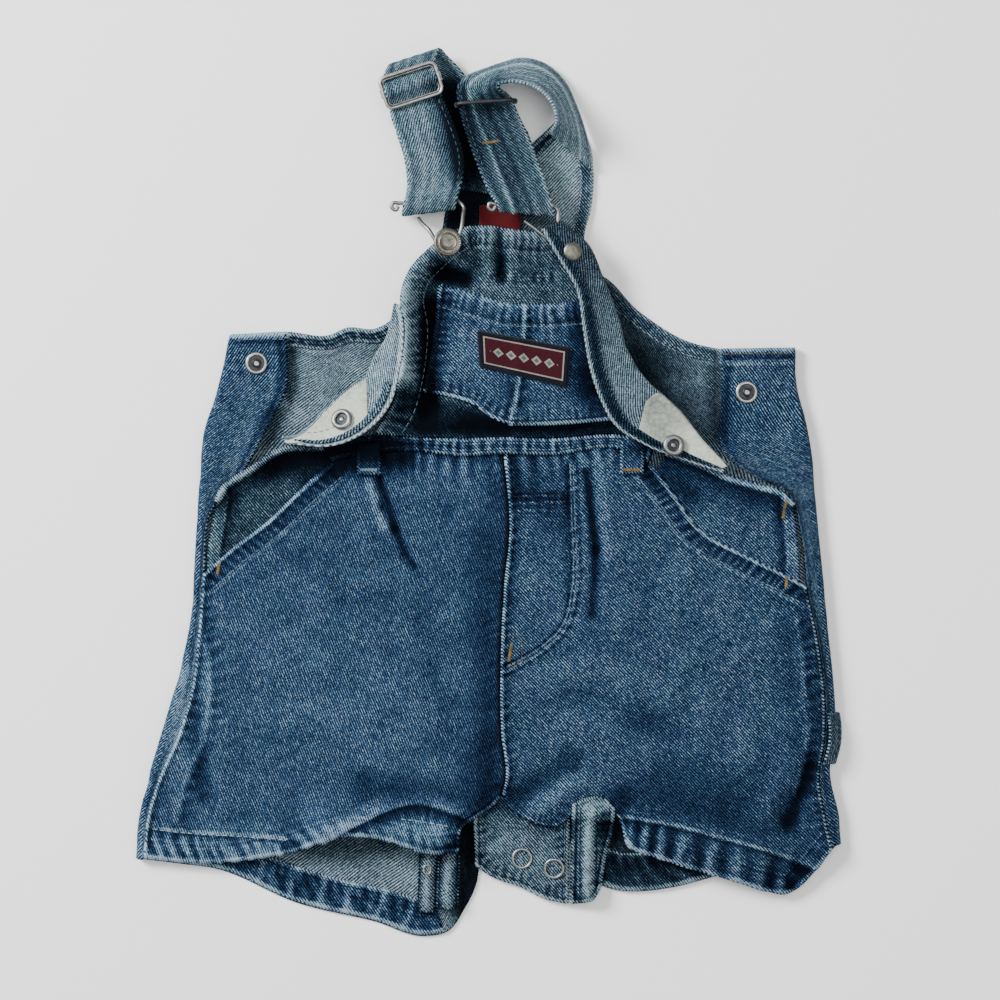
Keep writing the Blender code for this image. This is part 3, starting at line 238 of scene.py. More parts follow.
BELT_LOOPS = {"left": (-60.5, 10.5, 26), "right": (71, 11, 27)}
TOOL_LOOP = [(174.3, -109.5), (175, -114), (174.8, -125), (172.4, -134.5)]

# ---------------------------------------------------------------------------
# Heights: broad mounds and folds, each a soft ridge or trough along a line. A row has x and y of
# both ends of its line, its width and its rise.

FRONT_LEVEL = 7.5
FRONT_FOLDS = [
    (-110, -80, -50, -110, 42, 3.5),
    (50, -90, 125, -110, 44, 3.2),
    (-80, -168, -28, -166, 15, 9.0),
    (-40, -182, -18, -168, 10, 3.0),
    (-62, -146, -22, -154, 8, -2.0),
    (76, -172, 128, -182, 13, 4.5),
    (-150, -176, -172, -178, 18, -2.5),
    (145, -202, 160, -190, 14, -3.5),
    (-55.5, 8.5, -54, -6, 2.2, -1.3),
    (-54, -6, -47.5, -17.5, 1.8, -1.5),
    (-47.5, -17.5, -43, -30, 1.6, -1.3),
    (-43, -30, -35.5, -40, 1.8, -0.9),
    (-59, 6, -52, -16, 3.2, 1.1),
    (-66, 2, -62, -25, 7, 1.0),
    (48.5, 11.5, 53, -28, 2.4, -1.5),
    (53, -28, 51, -60, 2.6, -1.2),
    (57, 8, 60, -30, 4, 1.2),
    (16, -149, 42, -133, 6, -1.5),
    (20, -160, 46, -143, 5, 1.6),
    (42, -100, 85, -118, 9, -1.2),
    (50, -84, 88, -98, 9, 1.5),
    (161, -135, 149, -164, 5, -2.2),
    (151, -132, 138, -158, 7, 1.6),
    (-150, -95, -143, -150, 5, -1.6),
    (-136, -60, -134, -120, 8, 1.4),
    (-20, -120, -36, -60, 10, -1.2),
    (8, -150, 6, -60, 5, 1.0),
    (100, -40, 130, -70, 12, 1.5),
]
BIB_LEVEL = 8.0
BIB_FOLDS = [
    (-58, 38, -45, 58, 8, 8.0),
    (-44, 62, -43, 96, 8.5, 10.5),
    (-41, 106, -28, 122, 8.5, 8.5),
    (-16, 128, 24, 127, 9, 4.0),
    (-31, 42, -30, 92, 4.2, -4.6),
    (-24, 111, -12, 108.5, 4.5, -4.6),
    (5.5, 132, 5.5, 108, 2.6, -3.0),
    (11.5, 130, 12, 112, 2.6, 1.2),
    (-2, 131, -1, 112, 2.8, 1.2),
    (-9, 130, -8, 114, 2.6, -1.2),
    (-16, 33, 8, 31, 4, -1.5),
]
POCKET_GAP = 1.1
POCKET_FOLDS = [
    (-8, 45, 10, 37, 8, 2.2),
    (12, 37, 55, 38, 7, 2.6),
    (17.5, 92, 11, 38, 3, 0.7),
    (-20, 88, -24, 58, 6, -0.6),
    (0, 92, -4, 70, 8, 0.9),
    (30, 90, 44, 60, 10, 0.8),
]
BACK_FOLDS = [
    (-118, -42, -72, -76, 6, 1.8), (-62, 18, -50, -62, 5, 1.4),
    (-96, -118, -46, -138, 7, 1.6), (-22, -18, -15, -108, 4.5, 1.2),
    (-108, 8, -86, -16, 5, 1.0), (118, -62, 72, -40, 6, 1.7),
    (42, 38, 34, -72, 5, 1.5), (132, -118, 84, -98, 7, 1.9),
    (62, -128, 32, -98, 5, 1.3), (98, -2, 126, -26, 5, 1.0),
]
CROTCH_TUCK = -160
CROTCH_TUCK_GAP = 0.8
CROTCH_SAG = 32
CROTCH_LEVEL = 2.6
CROTCH_UNDER_LEVEL = 3.2
CROTCH_OVER = -167
CROTCH_OVER_RUN = 8
CROTCH_FOLDS = [(0, -178, 30, -184, 9, 2.4), (30, -170, 38, -200, 5, 1.2)]
CROTCH_UNDER_FOLDS = [(49, -162, 48, -198, 6, 5.6)]
LEG_PLACKET_LEVEL = 1.9
LEG_PLACKET_STEP = -196
LEG_PLACKET_FOLDS = [(-31.5, -186, -32, -204, 4.2, 4.0), (-21, -186, -21.5, -202, 4.6, 4.2)]
PLACKET_EDGE_LEFT = (-137, 2, -102, 26, 6.5, 5.0)
PLACKET_EDGE_RIGHT = (120, 9, 152, -2, 5, 2.4)

# ---------------------------------------------------------------------------
# Side wings of the bib, folded over so that the wrong side is up: a row for each section, from
# the free edge over to the fold: x, y, z of the free edge, x, y, z of the fold, how far the cloth
# runs back underneath and the radius of the bend.

WING_RIGHT = [
    (25.5, 132.2, 20.0, 35.5, 136.5, 19.0, 1, 3.2),
    (34.5, 117, 20.2, 49, 124, 18.4, 1, 3.6),
    (43, 102.5, 18.0, 56.5, 107, 15.8, 4, 3.0),
    (46.5, 82.5, 16.5, 63, 91, 12.5, 8, 2.4),
    (50, 62.5, 16.5, 69, 71, 12.0, 8, 2.4),
    (55, 47.5, 16.5, 79, 56, 12.5, 8, 2.4),
    (62.5, 34.5, 16.5, 92, 45, 13.0, 8, 2.4),
    (76, 25.5, 16.0, 101, 34, 14.0, 3, 2.4),
    (99, 16.5, 15.6, 110, 23, 15.0, 1, 2.4),
    (116, 11, 15.2, 119.5, 14.5, 14.8, 0.5, 2.4),
]
WING_LEFT = [
    (-45.0, 94, 19.4, -47.5, 95, 18.6, 1, 2.4),
    (-43.4, 84, 19.6, -51, 80, 15.0, 3, 2.4),
    (-44.0, 70, 19.6, -57, 70, 13.0, 5, 2.4),
    (-46.2, 57.5, 19.4, -62.5, 58.5, 12.0, 6, 2.4),
    (-49.5, 46.5, 19.0, -70.5, 53, 11.5, 8, 2.4),
    (-58.5, 34.8, 18.5, -81.5, 43, 11.5, 8, 2.4),
    (-70, 27.5, 17.5, -90, 34.5, 12.5, 6, 2.4),
    (-80, 24.7, 17.0, -95.5, 30.5, 13.5, 3, 2.4),
    (-92, 25.0, 16.4, -100, 29, 14.5, 1, 2.4),
    (-101.5, 26.4, 15.8, -103.3, 28.6, 15.4, 0.5, 2.4),
]

# Turned hems and pocketing on the wings: shares of the wing's length, distances in from its free
# edge, and the most of the wing's width that they may cover.
WING_LININGS = {
    "left": {
        "wing_hem_left": Lining(0.36, 0.97, 2.2, 5.0, 0.5),
        "pocketing_left": Lining(0.36, 0.9, 6.2, 60, 0.94),
    },
    "right": {
        "wing_hem_right": Lining(0.03, 0.97, 1.5, 6.6, 0.42),
        "pocketing_right": Lining(0.66, 0.93, 10.8, 60, 0.94),
    },
}

# ---------------------------------------------------------------------------
# Straps: x, y, z of the middle, how the width lies in plan and how far it leans on edge, both in
# degrees, and the width.

STRAP_LEFT_ROUTE = [
    (-4, 152, 3.8, -10, 0, 28),
    (-9, 170, 3.9, -6, 0, 28),
    (-17, 190, 3.8, 4, 0, 28),
    (-27, 208, 4.4, 14, 0, 27),
    (-34.8, 216.4, 5.8, 18, 0, 26),
    (-37.8, 219, 9.2, 18, 0, 26),
    (-39.4, 216, 11.6, 18, 0, 26),
    (-40.8, 209.6, 11.7, 18, 0, 26),
    (-39.4, 204.4, 15.4, 18, 0, 26),
    (-37.9, 199.4, 11.8, 17, 0, 26),
    (-37.0, 196, 11.6, 15, 0, 26),
    (-35, 190, 12.6, 11, 0, 27.5),
    (-30.5, 179, 13.4, 6, 3, 28),
    (-27, 166, 12.6, 5, 8, 28),
    (-27.5, 155, 12.6, 7, 10, 27),
    (-30, 145.5, 13.0, 7, 8, 26.5),
    (-30.7, 141.6, 10.7, 7, 6, 26),
    (-30.2, 145, 8.4, 7, 6, 26),
    (-28, 155, 7.6, 7, 6, 26.5),
    (-29, 170, 7.6, 6, 4, 27),
    (-33.2, 184, 8.2, 10, 0, 27),
]
STRAP_RIGHT_ROUTE = [
    (40.5, 172, 10.5, -40, -24, 28),
    (40.5, 182, 14.5, -18, -54, 28),
    (37.6, 193, 15.5, 12, -65, 28),
    (32.5, 202.6, 15.5, 44, -62, 28),
    (25.5, 208.8, 15.5, 72, -58, 28),
    (16.5, 211.4, 15.5, 95, -58, 28),
    (7, 210.4, 15.5, 112, -64, 28),
    (-1.5, 206.8, 16.6, 140, -56, 27),
    (-4.0, 202.0, 17.0, 168, -24, 26),
    (-2.4, 196.5, 17.0, 184, -3, 26),
    (0.5, 187, 15.0, 190, 0, 27),
    (4.5, 177, 14.0, 195, 0, 28),
    (9, 165, 14.0, 198, 0, 28),
    (13.5, 154, 15.0, 194, 0, 27.5),
    (17.3, 144.5, 18.4, 180, 0, 26.5),
    (18.4, 140.6, 16.1, 176, 0, 26.5),
    (17.6, 144, 13.8, 180, 0, 26.5),
    (13.5, 155, 10.0, 194, 0, 27),
    (9.3, 166, 8.8, 198, 0, 27.5),
    (5.0, 178, 9.2, 196, 0, 27.5),
]

# Buckle hardware: x, y, z of each bend of the wire hooks, from the eye round to the free end.
HOOK_LEFT_BENDS = [
    (-45.8, 144.6, 8.8), (-47, 142.6, 8.4), (-49, 143.6, 8.2), (-48.6, 146, 8.4),
    (-45.4, 146.0, 8.8), (-30, 145.2, 10.6), (-15.5, 146.6, 12.4), (-13.2, 144, 13.2),
    (-13.4, 139.5, 15.5), (-14.0, 134, 17.6), (-15.6, 128.5, 18.2), (-17.4, 123.6, 18.4),
    (-20.6, 120.9, 18.9), (-24.2, 121.6, 19.4), (-26.8, 126, 19.2), (-30.5, 132, 18.0),
    (-34.2, 135.8, 14.8), (-35.6, 137.9, 12.0), (-35.6, 138.4, 7.0),
]
HOOK_RIGHT_BENDS = [
    (3.0, 143.8, 16.1), (1.2, 142, 16.1), (-0.6, 143.2, 16.1), (-0.3, 145.4, 16.1),
    (2.8, 145.0, 16.1), (17, 144.4, 16.1), (31, 144.4, 16.1), (33.6, 142.2, 16.1),
    (34.0, 136, 16.2), (37.5, 129.5, 16.2), (43.6, 124.6, 16.2), (45.0, 119.6, 16.2),
    (41.6, 116.4, 16.2), (37.2, 118.2, 16.2), (32, 124.5, 16.2), (24.5, 131, 16.2),
    (17, 136.6, 16.2),
]

# Stitched lines that lie inside a panel.
FLY_STITCH = [(40, 15), (41, -12.5), (41, -47.5), (36.5, -65), (25, -76.5), (7.5, -86.5)]
FLY_RUNGS = [[(9.5, -1), (36, 0)], [(9.5, -4.5), (37, -3.5)], [(9.5, -8), (37, -7.5)]]
BIB_YOKE_STITCH = [(34, 109), (20, 109), (5.5, 109.5)]

HEM_STITCH_LEFT = [(-175.5, -166.5), (-150, -169.5), (-121.5, -171), (-102, -172.5)]
HEM_STITCH_RIGHT = [
    (64, -161), (76, -163), (90.5, -165.5), (117.5, -172.5), (144.5, -180.5), (162, -187.5),
]
HEM_ARCH_LEFT = [
    (-78, -172), (-72, -168.5), (-57, -161), (-47, -156.8), (-36, -155), (-25, -157.5),
    (-15, -161),
]
OUTSEAM_RIDGE_LEFT = [(-146, -60), (-140, -95), (-144, -122), (-152, -142), (-158, -163)]
OUTSEAM_RIDGE_RIGHT = [(153, -60), (157, -100), (158, -124), (152, -150)]

# Where the cloth is painted darker or paler than its ground: x and y of both ends of a line, its
# width and its tone. The tables hold pale worn places, painted light on lit places, and painted
# shade under the wings, between the legs and the straps, in creases and beside raised edges.
# Left front: painted shade under the left wing and in the creases below the slant pocket, and paler
# places along the hem and down the leg.
FRONT_LEFT_WEAR_AND_SHADE = [
    (-98, 14, -44, 19, 6, -2.0), (-4, -20, -6, -140, 9, -0.3), (-20, -178, -12, -166, 6, -0.9),
    (-55, 8, -47, -17, 1.6, -1.2), (-47, -17, -38, -36, 1.4, -0.9),
    (-60, 4, -53, -16, 2.5, 0.5),
    (-110, -90, -60, -120, 45, 0.12), (-60, -150, -25, -150, 9, -0.1),
    (0, -120, -6, -150, 8, -0.25), (-170, -176, -112, -177, 7, 0.85),
    (-112, -177, -76, -171, 6, 0.6), (-70, -166, -22, -167, 6, 0.5),
    (-152, -90, -160, -140, 7, 0.35),
]
# Right front: painted shade in the creases beside the fly and near the outseam, under the right
# wing, and in broad darker places low on the leg.
FRONT_RIGHT_WEAR_AND_SHADE = [
    (48.5, 11.5, 53, -28, 1.8, -0.9), (53, -28, 51, -60, 1.8, -0.6),
    (150, -60, 158, -140, 9, -0.35), (90, -148, 150, -160, 24, -0.25),
    (38.5, 14, 38.5, -45, 1.5, -0.5), (12, -1, 38, -1, 3, -0.6),
    (60, -60, 110, -90, 40, -0.08), (12, -150, 40, -134, 6, -0.15),
    (80, -150, 150, -165, 18, -0.25), (45, -100, 85, -118, 8, -0.1),
    (70, 18, 84, 10, 6, -0.8), (161, -135, 150, -164, 3, -0.8),
    (16, 10, 30, -10, 13, -0.5), (60, -165, 66, -150, 5, -0.5),
]
# Painted shade where the pocket facings lie under the wings.
FACING_SHADE = [
    (-108, 14, -70, 20, 7, -1.7), (-90, 4, -72, 14, 5, -1.5), (-128, -25, -105, -5, 8, -0.3),
    (84, 14, 100, 0, 6, -0.9), (100, 6, 130, -4, 8, -0.2),
]
# Painted shade on the waistband and belt loops where they lie under the wings.
WAIST_SHADE = [(-88, 20, -52, 24, 8, -2.3), (-52, 24, -36, 24, 6, -1.0), (73, 24, 82, 24, 5, -0.9)]
# Painted shade in the trough beside the armhole band, under the top hem and under the pocket's
# lower edge, and a paler armhole band.
BIB_SHADE_AND_PALE_BAND = [
    (-31, 36, -29, 96, 5, -1.5), (-27, 112, -14, 108, 5, -1.1), (-36, 34, 60, 33, 6, -1.6),
    (-34, 46, 0, 37, 5, -1.2), (-44, 60, -43, 96, 5, 0.6), (-52, 40, -45, 50, 6, -1.2),
    (5.5, 128, 5.5, 112, 2.5, -0.4), (25, 90, 50, 92, 8, -0.3),
]
# Painted shade along the pocket's left side in the trough and along its right side under the wing,
# and paler middle places.
POCKET_WEAR_AND_SHADE = [
    (-32, 50, -27, 104, 6.5, -1.7), (46, 55, 44, 96, 7, -1.0), (54, 40, 50, 60, 6, -0.9),
    (-14, 78, -10, 66, 7, 0.25), (3, 50, 40, 46, 9, 0.1),
]
# Painted shade where the pocketing lies under the fold of each wing.
POCKETING_SHADE = [
    (72, 50, 84, 32, 9, -0.95), (84, 47, 96, 37, 5, -0.6),
    (-64, 56, -60, 42, 3, -0.5),
]
# Painted shade on the back's inside beside the wings and tabs and between the legs, pale and dark
# lines of the tab hems, and paler places at the left outseam and hem.
BACK_WEAR_AND_SHADE = [
    (58, 104, 72, 60, 22, -0.9), (80, 66, 106, 36, 16, -0.8), (113, 62, 114, 30, 5, -0.7),
    (-152, -90, -160, -140, 5, 0.8), (-170, -170, -176, -180, 8, 0.5),
    (-100, 76, -101, 52, 4, -0.9), (-108, 40, -110, 28, 5, -0.9), (-46, 88, -50, 74, 6, -0.7),
    (-12, -160, -10, -206, 9, -2.0), (-90, -176, -50, -176, 6, -0.8),
    (60, -168, 72, -180, 10, -1.6), (6, -150, 50, -160, 12, -1.6),
    (-129, 79.6, -104, 80.6, 1.6, 1.3), (-128, 76.2, -104, 77, 1.1, -0.9),
    (118, 73.2, 151, 73.4, 1.5, 1.3), (118, 68.8, 151, 69.2, 1.1, -0.9),
    (118, 65.6, 151, 66, 1.1, 0.7),
]
# Painted shade on the yoke between the straps and under the hanging strap, and painted light on its
# lit right part.
YOKE_SHADE_AND_LIGHT = [
    (-18, 125, -8, 178, 15, -2.4), (2, 116, 26, 118, 10, -1.6), (8, 160, 12, 140, 9, -1.2),
    (34, 168, 42, 135, 12, 0.5),
]
# Darker bands and pale worn streaks along the left back hem, and painted shade on the right back
# hem and the right armhole hem.
HEM_WEAR_AND_SHADE = [
    (-28, -205, -40, -200, 8, -0.4), (-140, -180, -96, -195, 8, -0.35),
    (-96, -195, -34, -212, 8, -0.3), (-114, -184, -116.5, -195, 1.8, 1.1),
    (-97, -188, -101, -201, 1.5, 0.9), (-83, -193, -86, -204, 2.2, 0.7),
    (-69, -195, -73, -209, 1.7, 1.3), (-53, -199, -57, -213, 1.5, 1.2),
    (-38, -204, -43, -216, 1.9, 1.1), (58, -186, 115, -181, 12, -1.0),
    (48, 108, 70, 88, 9, -0.5),
]
# Painted shade under the front's edge and beside the roll, and paler crests of the placket and its
# roll.
CROTCH_WEAR_AND_SHADE = [
    (2, -156, 34, -162, 6, -0.7), (41, -162, 42, -200, 2.2, -0.9), (57, -158, 60, -180, 3, -0.5),
    (10, -172, 24, -192, 18, 0.45), (49, -156, 50, -200, 5, 0.55), (44, -154, 58, -155, 4, 0.7),
]
# Painted shade on the left strap's back part, between the straps and on the right strap's hanging
# part, and a paler place on the left strap's front.
STRAP_WEAR_AND_SHADE = [
    (-34, 190, -30, 155, 9, 0.25), (-19, 200, -12, 165, 9, -1.6), (-2, 196, 4, 203, 7, -1.0),
    (-22, 205, -10, 150, 6, -0.8), (2, 186, 14, 150, 13, -1.25),
]

# ---------------------------------------------------------------------------
# Curves and surfaces.

def smooth(rows, count):
    """Evenly spaced points on a soft curve through the given rows of numbers."""
    knots = np.array(rows, float)
    steps = np.linalg.norm(np.diff(knots[:, :3], axis=0), axis=1)
    at = np.concatenate(([0.0], np.cumsum(steps)))
    slopes = np.gradient(knots, at, axis=0)
    wanted = np.linspace(0.0, at[-1], count)
    i = np.clip(np.searchsorted(at, wanted, side="right") - 1, 0, len(at) - 2)
    span = (at[i + 1] - at[i])[:, None]
    s = (wanted - at[i])[:, None] / span
    start = (2 * s**3 - 3 * s**2 + 1) * knots[i] + (s**3 - 2 * s**2 + s) * slopes[i] * span
    end = (3 * s**2 - 2 * s**3) * knots[i + 1] + (s**3 - s**2) * slopes[i + 1] * span
    return start + end


def panel_grid(bottom, top, left, right, columns, rows):
    """Points of a panel stretched between its four edges."""
    b = smooth(bottom, columns)[None]
    t = smooth(top, columns)[None]
    l = smooth(left, rows)[:, None]
    r = smooth(right, rows)[:, None]
    u = np.linspace(0, 1, columns)[None, :, None]
    v = np.linspace(0, 1, rows)[:, None, None]
    ruled = (1 - v) * b + v * t + (1 - u) * l + u * r
    lower = (1 - v) * ((1 - u) * b[:, :1] + u * b[:, -1:])
    upper = v * ((1 - u) * t[:, :1] + u * t[:, -1:])
    return ruled - lower - upper


def folded_height(x, y, folds):
    """Sum of soft ridges and troughs, each fading away from its own line."""
    total = np.zeros_like(np.asarray(x, float))
    for x0, y0, x1, y1, width, rise in folds:
        run_x, run_y = x1 - x0, y1 - y0
        along = np.clip(((x - x0) * run_x + (y - y0) * run_y) / (run_x**2 + run_y**2), 0, 1)
        away = np.hypot(x - x0 - along * run_x, y - y0 - along * run_y)
        total = total + rise * np.exp(-((away / width) ** 2))
    return total


def front_height(x, y):
    """Underside of the front of the shorts above the table."""
    return FRONT_LEVEL + folded_height(x, y, FRONT_FOLDS)


def bib_height(x, y):
    """Underside of the bib above the table."""
    return BIB_LEVEL + folded_height(x, y, BIB_FOLDS)


def pocket_height(x, y):
    """Underside of the bib pocket, laid on the bib."""
    return bib_height(x, y) + DENIM + POCKET_GAP + folded_height(x, y, POCKET_FOLDS)


def facing_height(x, y):
    """Underside of the slant-pocket facings, tucked under the front."""
    edges = [PLACKET_EDGE_LEFT, PLACKET_EDGE_RIGHT]
    return front_height(x, y) - DENIM - LAYER_GAP + folded_height(x, y, edges)


def eased(share):
    """The same share from 0 to 1, with a soft start and a soft end."""
    return share * share * (3 - 2 * share)


def tucked_height(x, y, low):
    """Cloth that hangs out from under the front between the legs and sinks to the table."""
    share = eased(np.clip((CROTCH_TUCK - y) / CROTCH_SAG, 0, 1))
    return (front_height(x, y) - DENIM - CROTCH_TUCK_GAP) * (1 - share) + low * share


def crotch_height(x, y):
    """Underside of the snap placket between the legs."""
    return tucked_height(x, y, CROTCH_LEVEL + folded_height(x, y, CROTCH_FOLDS))


def crotch_under_height(x, y):
    """Underside of the rolled lower placket beside it, whose end lies over the arch."""
    share = eased(np.clip((y - CROTCH_OVER) / CROTCH_OVER_RUN, 0, 1))
    low = CROTCH_UNDER_LEVEL + folded_height(x, y, CROTCH_UNDER_FOLDS)
    return low * (1 - share) + (front_height(x, y) + DENIM + CROTCH_TUCK_GAP) * share


def waist_height(x, y):
    """Underside of the waistband, a little proud of the front."""
    return front_height(x, y) - WAISTBAND_SINK


def loop_height(x, y):
    """Underside of the belt loops, over the waistband."""
    return front_height(x, y) + WAISTBAND_THICK + SEAM_GAP


def patch_height(x, y):
    """Underside of the patch, sewn on the pocket."""
    return pocket_height(x, y) + DENIM + LAYER_GAP


def leg_placket_height(x, y):
    """Underside of the two rolled placket ends, which step up onto the back hem."""
    on_hem = np.clip((LEG_PLACKET_STEP - y) / LAYER_GAP, 0, 6) / 6
    return LEG_PLACKET_LEVEL + on_hem * FACING * 1.2 + folded_height(x, y, LEG_PLACKET_FOLDS)


def level(height):
    """A layer that lies flat at one height."""
    return lambda x, y: np.full_like(np.asarray(x, float), height)


def side_gaps(grid, left, right):
    """A grid whose side columns are moved sideways, which leaves the gap of a seam."""
    share = np.linspace(0, 1, grid.shape[1])[None, :]
    moved = grid.copy()
    moved[..., 0] += left * (1 - share) ** 4 + right * share ** 4
    return moved


def band_grid(lower, upper, columns, rows):
    """A grid between two edges, with straight ends."""
    return panel_grid(lower, upper, [lower[0], upper[0]], [lower[-1], upper[-1]], columns, rows)


def corner_grid(corners, columns, rows):
    """A grid between four corners, counted round from the lower left."""
    low_left, low_right, high_right, high_left = corners
    return band_grid([low_left, low_right], [high_left, high_right], columns, rows)


# ---------------------------------------------------------------------------
# Relief of seams, hems and gathers. A seam has its line with the panel on its left, its profile,
# the pitch, height and lean of its puckers, and a seed. A profile's rows have the distance from
# the seam, the rise, the tone and the share of the pucker. The tone holds pale worn edges and dark
# stitch lines, and painted shade in the grooves beside raised edges, rolls and arches.

Seam = namedtuple("Seam", "line profile pitch pucker lean seed")

HEM = [
    (-1, 0, 0, 0), (0, -0.1, 1.3, 0.2), (1.1, 0.6, 1.2, 0.6),
    (2.2, 0.45, -0.3, 0.65), (7, 0.5, -0.1, 0.75), (8.6, 0.1, -0.5, 0.5),
    (9.4, 0.25, 0.25, 0.3), (10.6, 0, -0.2, 0.2), (13, 0, 0, 0),
]
OUTSEAM = [
    (-1, 0, 0, 0), (0, -0.1, 1.0, 0.2), (0.9, 0.45, 1.0, 0.3),
    (1.9, 0.2, -0.5, 0.6), (4, 0, -0.1, 0.6), (5.4, 0, -0.1, 0.4),
    (9, 0, 0, 0),
]
SLANT = [
    (-1, 0, 0, 0), (0, 0, 0.9, 0.1), (0.9, 0.7, 1.1, 0.2),
    (1.8, 0.3, -0.7, 0.7), (2.8, 0.1, -0.55, 1), (7.2, 0.1, -0.3, 1),
    (8, -0.3, -0.3, 0.5), (8.5, 0.05, 0.5, 0.3), (9.2, -0.3, -0.4, 0.3),
    (10, 0.05, 0.5, 0.2), (11, -0.2, -0.2, 0.1), (13, 0, 0, 0),
]
RIDGE = [
    (-1, 0, 0, 0), (0, 0.6, 0.8, 0.1), (0.9, 0.5, 0.4, 0.3),
    (2, 0, -0.8, 1), (4, 0, -0.3, 0.4), (7, 0, 0, 0),
]
SOFT_RIDGE = [
    (-5, 0, 0, 0), (-1.4, 0.3, 0.12, 0.1), (0, 0.55, 0.4, 0.2),
    (1.3, 0.3, 0.1, 0.3), (2.8, 0, -0.45, 0.6), (7, 0, -0.15, 0.3),
    (11, 0, 0, 0),
]
SOFT_EDGE = [
    (-1, 0, 0, 0), (0, -0.1, -0.3, 0.2), (1, 0.3, 0.15, 0.4),
    (2.2, 0, -0.4, 0.8), (5, 0, -0.1, 0.4), (9, 0, 0, 0),
]
LOOP_EDGE = [
    (-1, 0, 0, 0), (0, -0.1, 0.3, 0.1), (0.8, 0.3, 0.3, 0.2),
    (1.6, 0, -0.5, 0.3), (3, 0, 0, 0),
]
SHADED_RIDGE = [
    (-1, 0, 0, 0), (0, 0, -1.6, 0), (1.4, 0, -1.2, 0.2),
    (3, 0, -0.4, 0.4), (9, 0, -0.25, 0.2), (16, 0, 0, 0),
]
CROSS_SEAM = [
    (-1, 0, 0, 0), (0, -0.3, -0.8, 1), (1.2, 0, -0.2, 1),
    (4, 0.1, 0.05, 0.9), (12, 0, 0, 0.25), (22, 0, 0, 0),
]
HEM_LINE = [
    (-19, 0, -0.05, 0.5), (-12, 0.2, -0.2, 1), (-2, 0, -0.3, 0.9),
    (-0.7, -0.3, -0.9, 0.4), (0.3, 0, 0.9, 0.2), (1.2, 0.5, 0.9, 0.2),
    (2.2, 0.5, -0.1, 0.2), (4, 0.3, 0.1, 0.1), (9, 0, 0, 0),
]
# The arch's dark tone at and just below its crease is painted shadow of the bulge above it.
ARCH = [
    (-11, 0, 0, 0.3), (-6, -0.2, -0.35, 0.8), (-1.2, -0.5, -1.1, 0.3),
    (0, 0.1, -1.2, 0), (0.9, 0.9, 0.25, 0), (3, 0.9, 0.3, 0.1),
    (10, 0.3, 0, 0), (14, 0, 0, 0),
]
ROLL_TOP = [
    (-1, 0, 0, 0), (0, -0.1, 0.5, 0.2), (0.8, 0.8, 1.0, 0.8),
    (2.4, 0.8, 0.6, 1), (3.3, 0, -1.1, 0.3), (6, 0, -0.5, 0),
    (11, 0, 0, 0),
]
STRIP = [
    (-1, 0, 0, 0), (0, 0, 0.2, 0.1), (0.8, 0.4, 0.5, 0.4),
    (2, 0.3, 0.2, 0.6), (5.6, 0.3, 0.3, 0.6), (6.6, -0.1, -0.9, 0.3),
    (9, 0, -0.4, 0), (13, 0, 0, 0),
]
RIBBED_ROLL = [
    (-4.5, -0.2, -0.9, 0.4), (-3.2, 0, 0.2, 1), (-1.5, 0.3, 0.75, 1),
    (0, 0.4, 0.9, 1), (1.5, 0.3, 0.6, 1), (3.2, 0, 0.0, 1),
    (4.5, -0.2, -0.9, 0.4),
]
STITCHED = [
    (-2.2, 0, 0, 0), (-1.1, -0.2, -1.0, 0.6), (0, 0.1, 0.7, 0.8),
    (1, -0.1, -0.9, 1), (2, 0.15, 0.7, 0.8), (3, -0.1, -0.7, 0.6),
    (5, 0, 0, 0.3), (7, 0, 0, 0),
]
RUNG = [
    (-1.6, 0, 0, 0), (-0.8, -0.2, -0.6, 0.6), (0, 0.2, 1.0, 0.8),
    (0.9, -0.1, -0.6, 0.6), (1.8, 0, 0, 0),
]
DOUBLE_STITCHED = [
    (-2.4, 0, 0, 0.3), (-1.2, -0.3, -0.3, 0.8), (-0.5, 0.1, 0.45, 1),
    (0.3, 0.1, -0.5, 1), (1.2, -0.3, 0.3, 0.8), (2.2, 0, -0.4, 0.5),
    (4, 0, 0, 0),
]
POCKET_HEM = [
    (-1, 0, 0, 0), (0, -0.1, 0.75, 0.4), (0.8, 0.5, 0.6, 0.8),
    (3, 0.55, 0.1, 1), (7.5, 0.45, -0.15, 1), (9, -0.05, -0.5, 1),
    (10, 0.1, 0.3, 0.8), (13, 0, -0.1, 0.5), (20, 0, 0, 0),
]
SEWN_EDGE = [
    (-1, 0, 0, 0), (0, -0.1, 1.0, 0.2), (0.9, 0.4, 0.9, 0.4),
    (1.9, 0, -0.9, 0.8), (3, 0.1, 0, 0.8), (5, 0, -0.3, 0.8),
    (8, 0, 0, 0.3), (12, 0, 0, 0),
]
WAIST_EDGE = [
    (-1, 0, 0, 0), (0, -0.3, 0.5, 0.5), (0.7, 0.2, 0.5, 0.8), (1.4, -0.1, -0.5, 1),
    (2.0, 0.1, 0.4, 1), (2.8, 0, -0.3, 1), (5, 0, 0, 0.9), (9, 0, 0, 0),
]
ARMHOLE_BAND = [
    (-1, 0, 0, 0), (0, -0.2, 0.6, 0.2), (0.8, 0.4, 0.6, 0.4), (3, 0.5, 0.15, 0.8), (9, 0.4, 0, 1),
    (10.4, -0.1, -0.3, 0.6), (11, 0.1, 0.5, 0.4), (11.8, -0.1, -0.4, 0.3), (14, 0, 0, 0),
]
PATCH_HEM = [
    (-1, 0, 0, 0), (0, -0.2, 0.3, 0), (0.7, 0.3, 0.2, 0), (1.6, 0.25, 0, 0), (2.0, -0.05, 0, 0),
    (3, 0, 0, 0),
]

# How much a seam's pale and dark lines and its puckers show in the colour; the puckers' crests are
# painted paler and their troughs darker, as worn crests and painted shade.
PALE_LINE, DARK_LINE, PUCKER_TONE = 1.6, 1.1, 0.7


